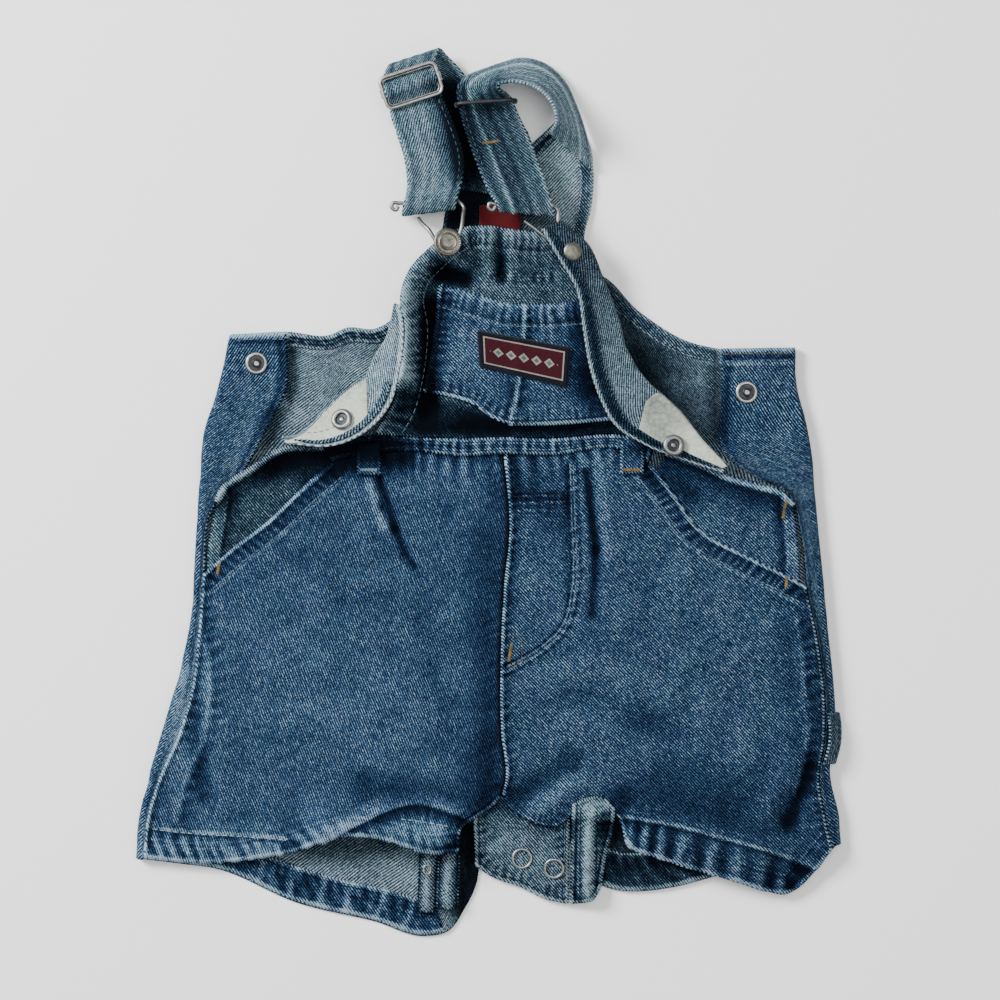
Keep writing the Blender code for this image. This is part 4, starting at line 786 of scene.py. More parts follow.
def along_line(x, y, line, count=70):
    """Signed distance from a line, positive on its left, and the length along it."""
    knots = smooth(line, count)[:, :2]
    nearest = np.full_like(x, np.inf)
    away = np.zeros_like(x)
    along = np.zeros_like(x)
    run_so_far = 0.0
    for start, end in zip(knots[:-1], knots[1:]):
        run = end - start
        length = math.hypot(*run)
        share = np.clip(((x - start[0]) * run[0] + (y - start[1]) * run[1]) / length**2, 0, 1)
        off_x, off_y = x - start[0] - share * run[0], y - start[1] - share * run[1]
        gap = np.hypot(off_x, off_y)
        closer = gap < nearest
        side = np.where(run[0] * off_y - run[1] * off_x >= 0, 1.0, -1.0)
        nearest = np.where(closer, gap, nearest)
        away = np.where(closer, gap * side, away)
        along = np.where(closer, run_so_far + share * length, along)
        run_so_far += length
    return away, along


WANDER_CELLS = 400


def wander(along, pitch, seed):
    """Soft random numbers between -1 and 1 that change over about one pitch."""
    values = np.random.default_rng(seed).uniform(-1, 1, WANDER_CELLS)
    at = along / pitch + 40
    cell = np.floor(at).astype(int) % (WANDER_CELLS - 1)
    share = eased(at - np.floor(at))
    return values[cell] * (1 - share) + values[cell + 1] * share


def gathers(along, away, pitch, lean, seed):
    """Uneven puckers across a seam, from -1 in a trough to 1 on a crest."""
    turns = along / pitch + lean * away / pitch + 0.55 * wander(along, 2.3 * pitch, seed)
    turns = turns + 0.12 * wander(away, pitch, seed + 1)
    size = 0.62 + 0.38 * wander(along, 1.3 * pitch, seed + 2)
    return np.sin(2 * math.pi * turns) * size


def seam_relief(x, y, seams):
    """Height and paleness that the seams add to a panel."""
    rise = np.zeros_like(x)
    tone = np.zeros_like(x)
    for seam in seams:
        away, along = along_line(x, y, seam.line)
        steps = np.array(seam.profile)
        level_at, tone_at, share = (
            np.interp(away, steps[:, 0], steps[:, k], left=0, right=0) for k in (1, 2, 3)
        )
        wave = gathers(along, away, seam.pitch, seam.lean, seam.seed)
        rise += level_at + seam.pucker * share * wave
        patchy = 0.75 + 0.35 * wander(along, 5.0, seam.seed + 7)
        tone += tone_at * np.where(tone_at > 0, PALE_LINE * patchy, DARK_LINE)
        # Puckers painted paler on their crests and darker in their troughs: worn crests and painted
        # shade.
        tone += PUCKER_TONE * share * wave
    return rise, tone


def crumple(x, y, size, seed):
    """Soft uneven dents about as wide as the given size, between about -1 and 1."""
    rng = np.random.default_rng(seed)
    total = np.zeros_like(x)
    for _ in range(9):
        angle, phase = rng.uniform(0, math.tau, 2)
        wave = size * rng.uniform(0.7, 1.9)
        bent = 0.9 * np.sin(math.tau * (x * math.sin(angle) - y * math.cos(angle)) / (wave * 2.1))
        across = (x * math.cos(angle) + y * math.sin(angle)) / wave
        total += np.sin(math.tau * across + phase + bent)
    return total / 4.5


def blurred(field, steps):
    """The same field with its small changes averaged away."""
    for axis in (0, 1):
        for _ in range(2):
            length = field.shape[axis]
            padded = np.pad(field, [(steps, steps) if k == axis else (0, 0) for k in (0, 1)],
                            mode="edge")
            total = np.cumsum(padded, axis=axis)
            take = np.arange(length)
            upper = np.take(total, take + 2 * steps, axis=axis)
            lower = np.take(total, np.maximum(take - 1, 0), axis=axis)
            first = np.take(total, [0], axis=axis) * 0
            lower = np.where(
                (take == 0).reshape([-1 if k == axis else 1 for k in (0, 1)]), first, lower,
            )
            field = (upper - lower) / (2 * steps + 1)
    return field


# ---------------------------------------------------------------------------
# Cloth shells.

# Palest and darkest tones, the most that relief stands up, and how much crests are painted pale and
# hollows dark, as worn crests and painted light and shade: folds, seams, broad hollows, and the
# creases of folded cloth.
TONE_LIMITS = (-2.4, 2.6)
RELIEF_MOST = 1.6
CREST_TONE, SEAM_TONE, HOLLOW_SHADE, BENT_TONE = 0.45, 0.3, 0.16, 0.6


def shell_faces(rows, columns):
    """Faces of a closed shell: upper layer, lower layer and a rounded rim between them."""
    index = np.arange(rows * columns).reshape(rows, columns)
    quads = np.stack([index[:-1, :-1], index[:-1, 1:], index[1:, 1:], index[1:, :-1]], axis=-1)
    quads = quads.reshape(-1, 4)
    border = np.concatenate([index[0, :-1], index[:-1, -1], index[-1, :0:-1], index[:0:-1, 0]])
    around = np.roll(border, -1)
    count = rows * columns
    middle = 2 * count + np.arange(len(border))
    next_middle = np.roll(middle, -1)
    outer = np.stack([border, middle, next_middle, around], axis=-1)
    inner = np.stack([middle, border + count, around + count, next_middle], axis=-1)
    faces = np.concatenate([quads, quads[:, ::-1] + count, outer, inner])
    return faces, border, len(quads)


def grid_normals(grid):
    """Unit normals of a grid of points."""
    normal = np.cross(np.gradient(grid, axis=1), np.gradient(grid, axis=0))
    return normal / np.maximum(np.linalg.norm(normal, axis=2), 1e-9)[..., None]


def lay_weave(mesh, weave, border):
    """Set the coordinates of a shell's cloth: upper layer, lower layer and rim."""
    flat = np.dstack([weave, np.zeros(weave.shape[:2])]).reshape(-1, 3)
    weaves = np.concatenate([flat, flat, flat[border]])
    mesh.attributes["weave"].data.foreach_set("vector", weaves.reshape(-1))


def cloth(name, upper, lower, finish, tone, weave, under=None, rim_under=False):
    """A cloth piece from its upper and lower layers, with its tone and weave coordinates."""
    rows, columns = upper.shape[:2]
    faces, border, layer = shell_faces(rows, columns)
    flat_upper, flat_lower = upper.reshape(-1, 3), lower.reshape(-1, 3)
    middle = (flat_upper[border] + flat_lower[border]) / 2
    wall = flat_upper[border] - flat_lower[border]
    run = np.roll(middle, -1, axis=0) - np.roll(middle, 1, axis=0)
    out = np.cross(run, wall)
    out /= np.maximum(np.linalg.norm(out, axis=1), 1e-9)[:, None]
    thick = np.linalg.norm(wall, axis=1)[:, None]
    middle = middle + out * thick * RIM
    points = (np.concatenate([flat_upper, flat_lower, middle]) + CENTRE_SHIFT) * MM
    mesh = bpy.data.meshes.new(name)
    mesh.from_pydata(points.tolist(), [], faces.tolist())
    form = bmesh.new()
    form.from_mesh(mesh)
    bmesh.ops.recalc_face_normals(form, faces=form.faces[:])
    form.to_mesh(mesh)
    form.free()
    flat_tone = tone.reshape(-1)
    tones = np.concatenate([flat_tone, flat_tone, flat_tone[border]])
    mesh.attributes.new("tone", "FLOAT", "POINT").data.foreach_set("value", tones)
    mesh.attributes.new("weave", "FLOAT_VECTOR", "POINT")
    lay_weave(mesh, weave, border)
    mesh.materials.append(finish)
    if under is not None:
        mesh.materials.append(under)
        slots = np.zeros(len(faces), int)
        slots[layer:] = 1
        slots[2 * layer:] = int(rim_under)
        mesh.polygons.foreach_set("material_index", slots)
    mesh.shade_smooth()
    return placed(name, mesh)


def placed(name, data):
    """A new object in the scene."""
    piece = bpy.data.objects.new(name, data)
    bpy.context.scene.collection.objects.link(piece)
    return piece


def cut_area(piece):
    """Area of cloth in a closed shell, in square metres."""
    return sum(face.area for face in piece.data.polygons) / 2


def dress(piece, node, cut):
    """Put a cloth piece in its node's place; its cut in millimetres is only set against its area,
    and nothing is kept.
    """
    piece.name = node + "_cloth"
    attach(piece, "root")
    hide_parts(node)
    width, length = (side * MM for side in cut)
    min(cut_area(piece), width * length)
    CLOTHS[node] = piece


def laid_cloth(node, grid, height, finish, cut, rests_on=(), seams=(), thick=DENIM,
               dents=(0.35, 22.0, 5), wear_and_shade=()):
    """A panel that lies as a layer, with its seams and with soft dents: depth, size and seed."""
    x, y = grid[..., 0], grid[..., 1]
    base = height(x, y)
    rise, tone = seam_relief(x, y, seams)
    deep, size, seed = dents
    soft = deep * crumple(x, y, size, seed) + 0.4 * deep * crumple(x, y, size * 0.37, seed + 50)
    top = base + thick + np.clip(rise, -0.55 * thick, RELIEF_MOST) + soft
    low = base + np.minimum(soft, 0.15)
    upper = np.dstack([x, y, top])
    lower = np.dstack([x, y, np.minimum(low, top - 0.4 * thick)])
    form = base + soft
    # Crests of the form and of the seams are painted paler and their troughs darker, as worn crests
    # and painted light and shade; broad hollows get painted shade.
    tone = tone + CREST_TONE * (form - blurred(form, 4)) + SEAM_TONE * (rise - blurred(rise, 3))
    tone = tone + HOLLOW_SHADE * np.minimum(form - blurred(form, 14), 0)
    # Lines of worn places and of painted light and shade pale or darken the tone.
    tone = np.clip(tone + folded_height(x, y, wear_and_shade), *TONE_LIMITS)
    piece = cloth(node, upper, lower, finish, tone, np.dstack([x, y]))
    dress(piece, node, cut)
    return piece


def paced(grid):
    """Length across and along a grid at each of its points, as cloth coordinates."""
    across = np.linalg.norm(np.diff(grid, axis=1), axis=2)
    along = np.linalg.norm(np.diff(grid, axis=0), axis=2)
    u = np.concatenate([np.zeros((grid.shape[0], 1)), np.cumsum(across, axis=1)], axis=1)
    v = np.concatenate([np.zeros((1, grid.shape[1])), np.cumsum(along, axis=0)], axis=0)
    return u, np.broadcast_to(v.mean(axis=1, keepdims=True), u.shape)


def bent_cloth(node, grid, finish, cut, thick=DENIM, relief=0.0, tone=0.0,
               under=None, flip=1.0, rim_under=False, wear_and_shade=()):
    """Cloth that folds over itself, thickened to both sides of its middle surface.

    Flip turns the upper side round, and under is the finish of the lower side.
    """
    normal = grid_normals(grid) * flip
    relief = np.broadcast_to(relief, grid.shape[:2])
    centre = grid + normal * relief[..., None]
    normal = grid_normals(centre) * flip
    upper, lower = centre + normal * thick / 2, centre - normal * thick / 2
    u, v = paced(grid)
    # Crests of the relief are painted paler and its creases darker, as worn crests and painted
    # light and shade.
    tones = np.broadcast_to(tone, relief.shape) + BENT_TONE * (relief - blurred(relief, 3))
    # Lines of worn places and of painted light and shade pale or darken the tone.
    tones = np.clip(tones + folded_height(grid[..., 0], grid[..., 1], wear_and_shade), *TONE_LIMITS)
    piece = cloth(node, upper, lower, finish, tones, np.dstack([u, v]), under, rim_under)
    dress(piece, node, cut)


# ---------------------------------------------------------------------------
# Finishes.

def paint(red, green, blue):
    """Linear colour of a screen colour from 0 to 255."""
    share = [value / 255 for value in (red, green, blue)]
    return tuple(s / 12.92 if s <= 0.04045 else ((s + 0.055) / 1.055) ** 2.4 for s in share)


class Value:
    """A shader socket that does arithmetic."""

    def __init__(self, finish, socket):
        self.finish = finish
        self.socket = socket

    def _math(self, operation, *terms):
        return self.finish.node("ShaderNodeMath", {"operation": operation}, dict(enumerate(terms)))

    def __add__(self, other):
        return self._math("ADD", self, other)

    def __sub__(self, other):
        return self._math("SUBTRACT", self, other)

    def __rsub__(self, other):
        return self._math("SUBTRACT", other, self)

    def __mul__(self, other):
        return self._math("MULTIPLY", self, other)

    def __truediv__(self, other):
        return self._math("DIVIDE", self, other)

    __radd__ = __add__
    __rmul__ = __mul__

    def below(self, limit):
        return self._math("LESS_THAN", self, limit)

    def sine(self):
        return self._math("SINE", self)

    def floor(self):
        return self._math("FLOOR", self)

    def size(self):
        return self._math("ABSOLUTE", self)

    def clipped(self, low=0.0, high=1.0):
        return self.finish.node("ShaderNodeClamp", {}, {"Value": self, "Min": low, "Max": high})


# Specular level of cloth, which has hardly any, and of metal.
CLOTH_SHINE, METAL_SHINE = 0.04, 0.5


class Finish:
    """A material whose nodes are made by one method."""

    def __init__(self, name, roughness, metallic=0.0, sheen=0.0):
        self.material = bpy.data.materials.new(name)
        self.material.use_nodes = True
        self.tree = self.material.node_tree
        self.shader = self.tree.nodes["Principled BSDF"]
        self.shader.inputs["Roughness"].default_value = roughness
        self.shader.inputs["Metallic"].default_value = metallic
        self.shader.inputs["Sheen Weight"].default_value = sheen
        shine = METAL_SHINE if metallic else CLOTH_SHINE
        self.shader.inputs["Specular IOR Level"].default_value = shine

    def node(self, kind, settings, values, output=0):
        """Add a node: its settings first, then its sockets; gives one of its outputs."""
        made = self.tree.nodes.new(kind)
        for key, value in settings.items():
            if key == "stops":
                ramp = made.color_ramp
                for step, (at, colour) in enumerate(value):
                    stop = ramp.elements[step] if step < 2 else ramp.elements.new(at)
                    stop.position, stop.color = at, (*colour, 1.0)
            else:
                setattr(made, key, value)
        for key, value in values.items():
            self.feed(made.inputs[key], value)
        return Value(self, made.outputs[output])

    def feed(self, socket, value):
        """Link a value to a socket, or set a constant on it."""
        if isinstance(value, Value):
            self.tree.links.new(value.socket, socket)
        else:
            socket.default_value = value

    def noise(self, place, scale, detail=2.0, rough=0.55):
        return self.node("ShaderNodeTexNoise", {}, {
            "Vector": place, "Scale": scale, "Detail": detail, "Roughness": rough,
        })

    def vector(self, x, y, z=0.0):
        return self.node("ShaderNodeCombineXYZ", {}, {0: x, 1: y, 2: z})

    def bump(self, height, distance, strength=1.0):
        normal = self.node("ShaderNodeBump", {}, {
            "Strength": strength, "Distance": distance, "Height": height,
        })
        self.feed(self.shader.inputs["Normal"], normal)

    def colour(self, value):
        self.feed(self.shader.inputs["Base Color"], value)

    def ramp(self, light, *stops):
        """Colour for a light from 0 to 1, from stops of place and colour."""
        return self.node("ShaderNodeValToRGB", {"stops": stops}, {0: light})

    def mixed(self, first, second, share=1.0, blend="MULTIPLY"):
        """The second colour over the first, by a share."""
        return self.node("ShaderNodeMix", {"data_type": "RGBA", "blend_type": blend},
                         {0: share, 6: first, 7: second}, 2)

    def tone(self):
        """How pale or dark the cloth is at each place, from worn places and from painted light and
        shade: pale above 0, dark below.
        """
        return self.node("ShaderNodeAttribute", {"attribute_name": "tone"}, {}, 2)

    def woven(self):
        """The cloth's own coordinates, whole and as two numbers."""
        weave = self.node("ShaderNodeAttribute", {"attribute_name": "weave"}, {}, 1)
        split = self.tree.nodes.new("ShaderNodeSeparateXYZ")
        self.tree.links.new(weave.socket, split.inputs[0])
        return weave, Value(self, split.outputs[0]), Value(self, split.outputs[1])


# Light of the cloth's ground on its scale of colours, and its slow drift in hue.
GROUND_LIGHT = 0.46
TINTS = [(0.35, (0.93, 1.02, 1.0)), (0.65, (1.05, 0.98, 1.02))]


def twill(name, stops, angle, pitch, contrast=1.0, tone_gain=0.3, sheen=0.0, drift=0.5,
          roughness=0.85):
    """Denim: uneven diagonal dashes of yarn over a stone-washed ground, made paler and darker by
    its tone, which holds worn ridges and painted light and shade.
    """
    finish = Finish(name, roughness, sheen=sheen)
    weave, u, v = finish.woven()
    tone = finish.tone()
    lean = math.radians(angle)
    warp = finish.noise(weave, 0.1, 1.0) - 0.5
    across = (u * math.sin(lean) + v * math.cos(lean)) / pitch + warp * 0.4
    along = (u * math.cos(lean) - v * math.sin(lean)) / pitch
    line = (across * math.tau).sine()
    dots = finish.noise(finish.vector(across * 1.3, along * 1.5), 1.0, 0.5) - 0.5
    yarn = finish.noise(finish.vector(across * 1.5, along * 0.3, 7.0), 1.0, 1.5) - 0.5
    wash = finish.noise(weave, 0.06, 3.0, 0.6) - 0.5
    blotch = finish.noise(weave, 0.3, 2.0, 0.6) - 0.5
    in_shade = (tone * 0.2 + 1.0).clipped(0.45, 1.0)
    weave_light = (line * 0.31 + dots * 0.98 + yarn * 0.78) * in_shade
    ground = wash * 0.5 * drift + blotch * 0.35 * drift + tone * tone_gain
    hue = finish.ramp((GROUND_LIGHT + weave_light * contrast + ground).clipped(), *stops)
    tint = finish.ramp(finish.noise(weave, 0.045, 2.0), *TINTS)
    finish.colour(finish.mixed(hue, tint))
    finish.bump(line * 0.5 + dots * 1.0 + yarn * 0.6, 0.00022)
    return finish.material


def blues(*colours):
    """Even stops of a colour scale, from the deepest indigo to the most worn."""
    return [(step / 4, paint(*colour)) for step, colour in enumerate(colours)]


FACE_STOPS = blues((1, 4, 12), (8, 20, 39), (25, 47, 73), (60, 89, 114), (136, 158, 170))
DARK_STOPS = blues((1, 4, 10), (9, 21, 34), (28, 48, 63), (68, 91, 106), (132, 152, 160))
STRAP_STOPS = blues((4, 10, 18), (24, 40, 52), (62, 84, 96), (102, 124, 134), (156, 172, 177))
WRONG_STOPS = blues((6, 11, 18), (33, 47, 58), (78, 97, 109), (124, 142, 151), (172, 184, 188))


def cotton(name, colour, shade):
    """Plain woven pocketing with soft shading in its weave."""
    finish = Finish(name, 0.9, sheen=0.05)
    weave, u, v = finish.woven()
    tone = finish.tone()
    cross = (u * (math.tau / 0.55)).sine() * (v * (math.tau / 0.55)).sine()
    slub = finish.noise(weave, 0.5, 3.0) - 0.5
    light = (0.62 + cross * 0.1 + slub * 0.7 + tone * 0.42).clipped()
    finish.colour(finish.ramp(light, (0.0, shade), (1.0, colour)))
    finish.bump(cross * 0.5 + slub, 0.0001)
    return finish.material


def metal(name, bright, dull, roughness=0.34):
    """Aged metal: bright and dull in uneven spots of noise."""
    finish = Finish(name, roughness, metallic=1.0)
    place = finish.node("ShaderNodeTexCoord", {}, {}, 3)
    spots = finish.noise(place, 420.0, 4.0, 0.65)
    grime = finish.noise(place, 1500.0, 2.0)
    light = (spots * 1.3 - 0.15 + (grime - 0.5) * 0.5).clipped()
    finish.colour(finish.ramp(light, (0.0, dull), (1.0, bright)))
    finish.feed(finish.shader.inputs["Roughness"], (1.0 - light) * 0.3 + roughness * 0.8)
    finish.bump(spots + grime * 0.4, 0.00006)
    return finish.material


def patch_weave(name):
    """Woven patch: navy border, burgundy field and a row of plain lozenges between cream lines."""
    finish = Finish(name, 0.8, sheen=0.1)
    weave, u, v = finish.woven()
    side, end = v.size(), u.size()
    inner = side.below(6.2) * end.below(19.4)
    line = (side - 6.6).size().below(0.35) * end.below(20.2)
    line = (line + (end - 19.8).size().below(0.35) * side.below(6.9)).clipped()
    step = (u / 6.4 + 0.5).floor() * 6.4
    lozenge = ((u - step).size() * 0.9 + side).below(2.4) * end.below(17.0)
    heart = ((u - step).size() * 0.9 + side).below(1.2) * end.below(17.0)
    rib = (v * (math.tau / 0.42)).sine() * 0.5 + (u * (math.tau / 0.5)).sine() * 0.35
    worn = finish.noise(weave, 0.9, 3.0) - 0.5

    hue = (*paint(11, 12, 26), 1)
    frames = (lozenge - heart + line).clipped()
    for colour, mask in (
        ((56, 13, 25), inner), ((138, 132, 122), frames), ((60, 92, 104), heart),
    ):
        hue = finish.mixed(hue, (*paint(*colour), 1), mask, "MIX")
    dim = (0.86 + rib * 0.16 + worn * 0.7).clipped(0.3, 1.3)
    finish.colour(finish.mixed(hue, finish.vector(dim, dim, dim)))
    finish.bump(rib + worn, 0.00012)
    return finish.material


def ribbed(name, colour, shade):
    """Plain woven tape."""
    finish = Finish(name, 0.75, sheen=0.1)
    weave, _, v = finish.woven()
    rib = (v * (math.tau / 0.5)).sine()
    light = (0.6 + rib * 0.2 + (finish.noise(weave, 1.2, 2.0) - 0.5) * 0.8).clipped()
    finish.colour(finish.ramp(light, (0.0, shade), (1.0, colour)))
    finish.bump(rib, 0.0001)
    return finish.material


FACE_LEFT = twill("denim_face_steep", FACE_STOPS, 68, 1.15, contrast=0.88)
FACE_RIGHT = twill("denim_face", FACE_STOPS, 46, 1.15, contrast=1.05)
FACE_SIDE = twill("denim_face_side", FACE_STOPS, 55, 1.2, contrast=1.05)
FACE_DARK = twill("denim_face_dark", DARK_STOPS, 50, 1.15, contrast=1.1, drift=0.7)
STRAP_DENIM = twill("denim_strap", STRAP_STOPS, 60, 1.15, contrast=0.92)
INSIDE_BACK = twill("denim_inside_back", WRONG_STOPS, -46, 1.2, contrast=0.9)
INSIDE_WING = twill("denim_inside_wing", WRONG_STOPS, 66, 1.15, contrast=0.9)
POCKETING = cotton("pocket_cotton", paint(212, 216, 202), paint(88, 98, 94))
PATCH = patch_weave("patch_weave_cloth")
# The tape's dark red is partly painted shade over its own red.
TAPE = ribbed("neck_tape", paint(98, 20, 28), paint(40, 6, 12))
SILVER = metal("aged_silver", (0.5, 0.5, 0.48), (0.09, 0.095, 0.095), 0.3)
NICKEL = metal("dark_nickel", (0.3, 0.31, 0.31), (0.07, 0.075, 0.08))
STEEL = metal("dark_steel", (0.34, 0.34, 0.33), (0.06, 0.065, 0.065), 0.3)
DARK_METAL = metal("shaded_metal", (0.07, 0.075, 0.08), (0.015, 0.016, 0.018), 0.5)
PEWTER = metal("aged_pewter", (0.26, 0.25, 0.21), (0.055, 0.055, 0.045))

CLOTHS = {}


# ---------------------------------------------------------------------------
# The garment's cloth.

def grid_count(*lengths):
    """Number of points that gives a fine grid over these lengths in millimetres."""
    return [int(round(length / FINE_STEP)) + 1 for length in lengths]


def build_front():
    """Front legs, slant-pocket facings, waistband and belt loops."""
    columns, rows = grid_count(150, 175)
    left = panel_grid(FRONT_HEM_LEFT, FRONT_TOP_LEFT, SIDE_SEAM_LEFT, INSEAM_LEFT + CENTRE_FRONT,
                      columns, rows)
    left = side_gaps(left, 0.9, -0.6)
    from_hem = np.arange(rows)[:, None]
    ruffle = gathers(left[..., 0], 0 * left[..., 0], 8.0, 0, 33) * np.exp(-from_hem / 5.0)
    left[..., 1] += 0.9 * ruffle * np.clip((left[..., 0] + 150) / 30, 0, 1)
    seams = [
        Seam(SIDE_SEAM_LEFT[::-1], OUTSEAM, 5.5, 0.35, 0.1, 11),
        Seam(FRONT_HEM_LEFT, HEM, 7.0, 0.45, 0.5, 12),
        Seam(HEM_STITCH_LEFT, HEM_LINE, 6.0, 0.45, 0.4, 17),
        Seam(HEM_ARCH_LEFT, ARCH, 6.5, 0.5, 0.3, 18),
        Seam(OUTSEAM_RIDGE_LEFT, SOFT_RIDGE, 6.0, 0.2, 0.3, 19),
        Seam(FRONT_TOP_LEFT[4::-1], SLANT, 4.4, 0.5, 0.25, 13),
        Seam(FRONT_TOP_LEFT[:3:-1], CROSS_SEAM, 8.0, 0.5, 0.05, 14),
        Seam(CENTRE_FRONT, SHADED_RIDGE, 5.0, 0.25, 0.4, 15),
        Seam(INSEAM_LEFT, SEWN_EDGE, 4.0, 0.3, 0.3, 16),
    ]
    laid_cloth("front_left", left, front_height, FACE_LEFT, (185, 250),
               ["back_left"], seams, dents=(0.34, 26.0, 5), wear_and_shade=FRONT_LEFT_WEAR_AND_SHADE)
    right = panel_grid(FRONT_HEM_RIGHT, FRONT_TOP_RIGHT, CENTRE_FRONT, SIDE_SEAM_RIGHT,
                       *grid_count(165, 175))
    right = side_gaps(right, 0.4, -1.2)
    seams = [
        Seam(SIDE_SEAM_RIGHT, OUTSEAM, 5.5, 0.35, 0.1, 21),
        Seam(FRONT_HEM_RIGHT[6:], HEM, 12.0, 0.5, 0.3, 22),
        Seam(FRONT_HEM_RIGHT[:7], SOFT_EDGE, 4.5, 0.35, 0.4, 29),
        Seam(HEM_STITCH_RIGHT, HEM_LINE, 12.0, 0.8, 0.2, 28),
        Seam(OUTSEAM_RIDGE_RIGHT, SOFT_RIDGE, 6.0, 0.25, 0.3, 20),
        Seam(FRONT_TOP_RIGHT[:2:-1], SLANT, 4.4, 0.5, -0.25, 23),
        Seam(FRONT_TOP_RIGHT[3::-1], CROSS_SEAM, 8.0, 0.5, 0.05, 24),
        Seam(CENTRE_FRONT[::-1], RIDGE, 5.0, 0.25, 0.4, 25),
        Seam(FLY_STITCH, STITCHED, 4.5, 0.25, 0.1, 26),
    ] + [Seam(line, RUNG, 4.0, 0.15, 0.1, 27) for line in FLY_RUNGS]
    laid_cloth("front_right", right, front_height, FACE_RIGHT, (200, 255),
               ["back_right"], seams, dents=(0.38, 24.0, 8), wear_and_shade=FRONT_RIGHT_WEAR_AND_SHADE)
    for node, lower, upper, start, end, finish in (
        ("pocket_facing_left", FACING_LEFT_INNER, FACING_LEFT_TOP, FACING_LEFT_OUTER,
         FACING_LEFT_END, FACE_DARK),
        ("pocket_facing_right", FACING_RIGHT_INNER, FACING_RIGHT_TOP, FACING_RIGHT_END,
         FACING_RIGHT_OUTER, FACE_RIGHT),
    ):
        facing = panel_grid(lower, upper, start, end, *grid_count(70, 45))
        outer = start[::-1] if "left" in node else end
        seams = [Seam(upper[::-1], ROLL_TOP, 2.2, 0.14, 0.7, 31),
                 Seam(outer, STRIP, 2.0, 0.1, 0.6, 32)]
        laid_cloth(node, facing, facing_height, finish, (100, 60),
                   ["back_" + node.split("_")[-1]], seams, dents=(0.15, 20.0, 9),
                   wear_and_shade=FACING_SHADE)
    waist = band_grid(WAIST_LOWER, WAIST_UPPER, *grid_count(175, 14))
    seams = [
        Seam(WAIST_LOWER, WAIST_EDGE, 4.8, 0.75, 0.03, 41),
        Seam(WAIST_UPPER[::-1], WAIST_EDGE, 4.8, 0.3, 0.03, 43),
    ]
    laid_cloth("waistband", waist, waist_height, FACE_RIGHT, (185, 12),
               ["front_left", "front_right"], seams, WAISTBAND_THICK, dents=(0.15, 18.0, 6),
               wear_and_shade=WAIST_SHADE)
    for side, (across, low, high) in BELT_LOOPS.items():
        left, right = across - BELT_LOOP_WIDTH / 2, across + BELT_LOOP_WIDTH / 2
        corners = [(left, low), (right, low), (right, high), (left, high)]
        grid = corner_grid(corners, *grid_count(16, 20))
        seams = [Seam([corners[3], corners[0]], LOOP_EDGE, 4.0, 0.1, 0, 45),
                 Seam([corners[1], corners[2]], LOOP_EDGE, 4.0, 0.1, 0, 46)]
        laid_cloth("belt_loop_" + side, grid, loop_height, FACE_RIGHT, (15, 20),
                   ["waistband"], seams, dents=(0.1, 12.0, 7), wear_and_shade=WAIST_SHADE)


def build_bib():
    """Bib, its pocket in two halves, and the patch."""
    bib = panel_grid(BIB_BOTTOM, BIB_TOP, BIB_LEFT, BIB_RIGHT, *grid_count(115, 110))
    seams = [
        Seam(BIB_TOP[::-1], POCKET_HEM, 4.2, 0.3, 0.05, 51),
        Seam(BIB_LEFT[::-1], ARMHOLE_BAND, 5.0, 0.25, 0.3, 52),
        Seam(BIB_YOKE_STITCH, DOUBLE_STITCHED, 4.4, 0.35, 0.05, 53),
    ]
    laid_cloth("bib", bib, bib_height, FACE_DARK, (175, 130),
               ["back_left", "back_right"], seams, dents=(0.3, 20.0, 15), wear_and_shade=BIB_SHADE_AND_PALE_BAND)
    cut = POCKET_BOTTOM.index(POCKET_CENTRE[0])
    top_cut = POCKET_TOP.index(POCKET_CENTRE[-1])
    left = panel_grid(POCKET_BOTTOM[:cut + 1], POCKET_TOP[:top_cut + 1], POCKET_LEFT,
                      POCKET_CENTRE, *grid_count(46, 60))
    right = panel_grid(POCKET_BOTTOM[cut:], POCKET_TOP[top_cut:], POCKET_CENTRE, POCKET_RIGHT,
                       *grid_count(46, 60))
    for node, grid, seams in (
        ("bib_pocket_left", side_gaps(left, 0, -0.3), [
            Seam(POCKET_TOP[top_cut::-1], POCKET_HEM, 4.2, 0.35, 0.06, 55),
            Seam(POCKET_BOTTOM[:cut + 1], SEWN_EDGE, 4.4, 0.35, 0.1, 56),
            Seam(POCKET_CENTRE, RIDGE, 4.5, 0.2, 0.1, 57),
            Seam(POCKET_LEFT[::-1], SEWN_EDGE, 4.5, 0.3, 0.1, 58),
        ]),
        ("bib_pocket_right", side_gaps(right, 0.3, 0), [
            Seam(POCKET_TOP[:top_cut - 1:-1], POCKET_HEM, 4.2, 0.4, 0.06, 61),
            Seam(POCKET_BOTTOM[cut:], SEWN_EDGE, 4.4, 0.35, 0.1, 62),
            Seam(POCKET_CENTRE[::-1], RIDGE, 4.5, 0.2, 0.1, 63),
            Seam(POCKET_RIGHT, SEWN_EDGE, 4.5, 0.3, 0.1, 64),
        ]),
    ):
        laid_cloth(node, grid, pocket_height, FACE_RIGHT, (54, 72), ["bib"], seams,
                   dents=(0.28, 17.0, 17), wear_and_shade=POCKET_WEAR_AND_SHADE)
    patch = corner_grid(PATCH_CORNERS, *grid_count(46, 20))
    piece = laid_cloth("pocket_patch", patch, patch_height, PATCH, (46, 20),
                       ["bib_pocket_left", "bib_pocket_right"],
                       [Seam(edge, PATCH_HEM, 3.0, 0.05, 0, 66) for edge in PATCH_EDGES],
                       thick=FACING, dents=(0.1, 15.0, 18))
    rows, columns = patch.shape[:2]
    wide, high = PATCH_HALF
    u, v = np.meshgrid(np.linspace(-wide, wide, columns), np.linspace(-high, high, rows))
    lay_weave(piece.data, np.dstack([u, v]), shell_faces(rows, columns)[1])


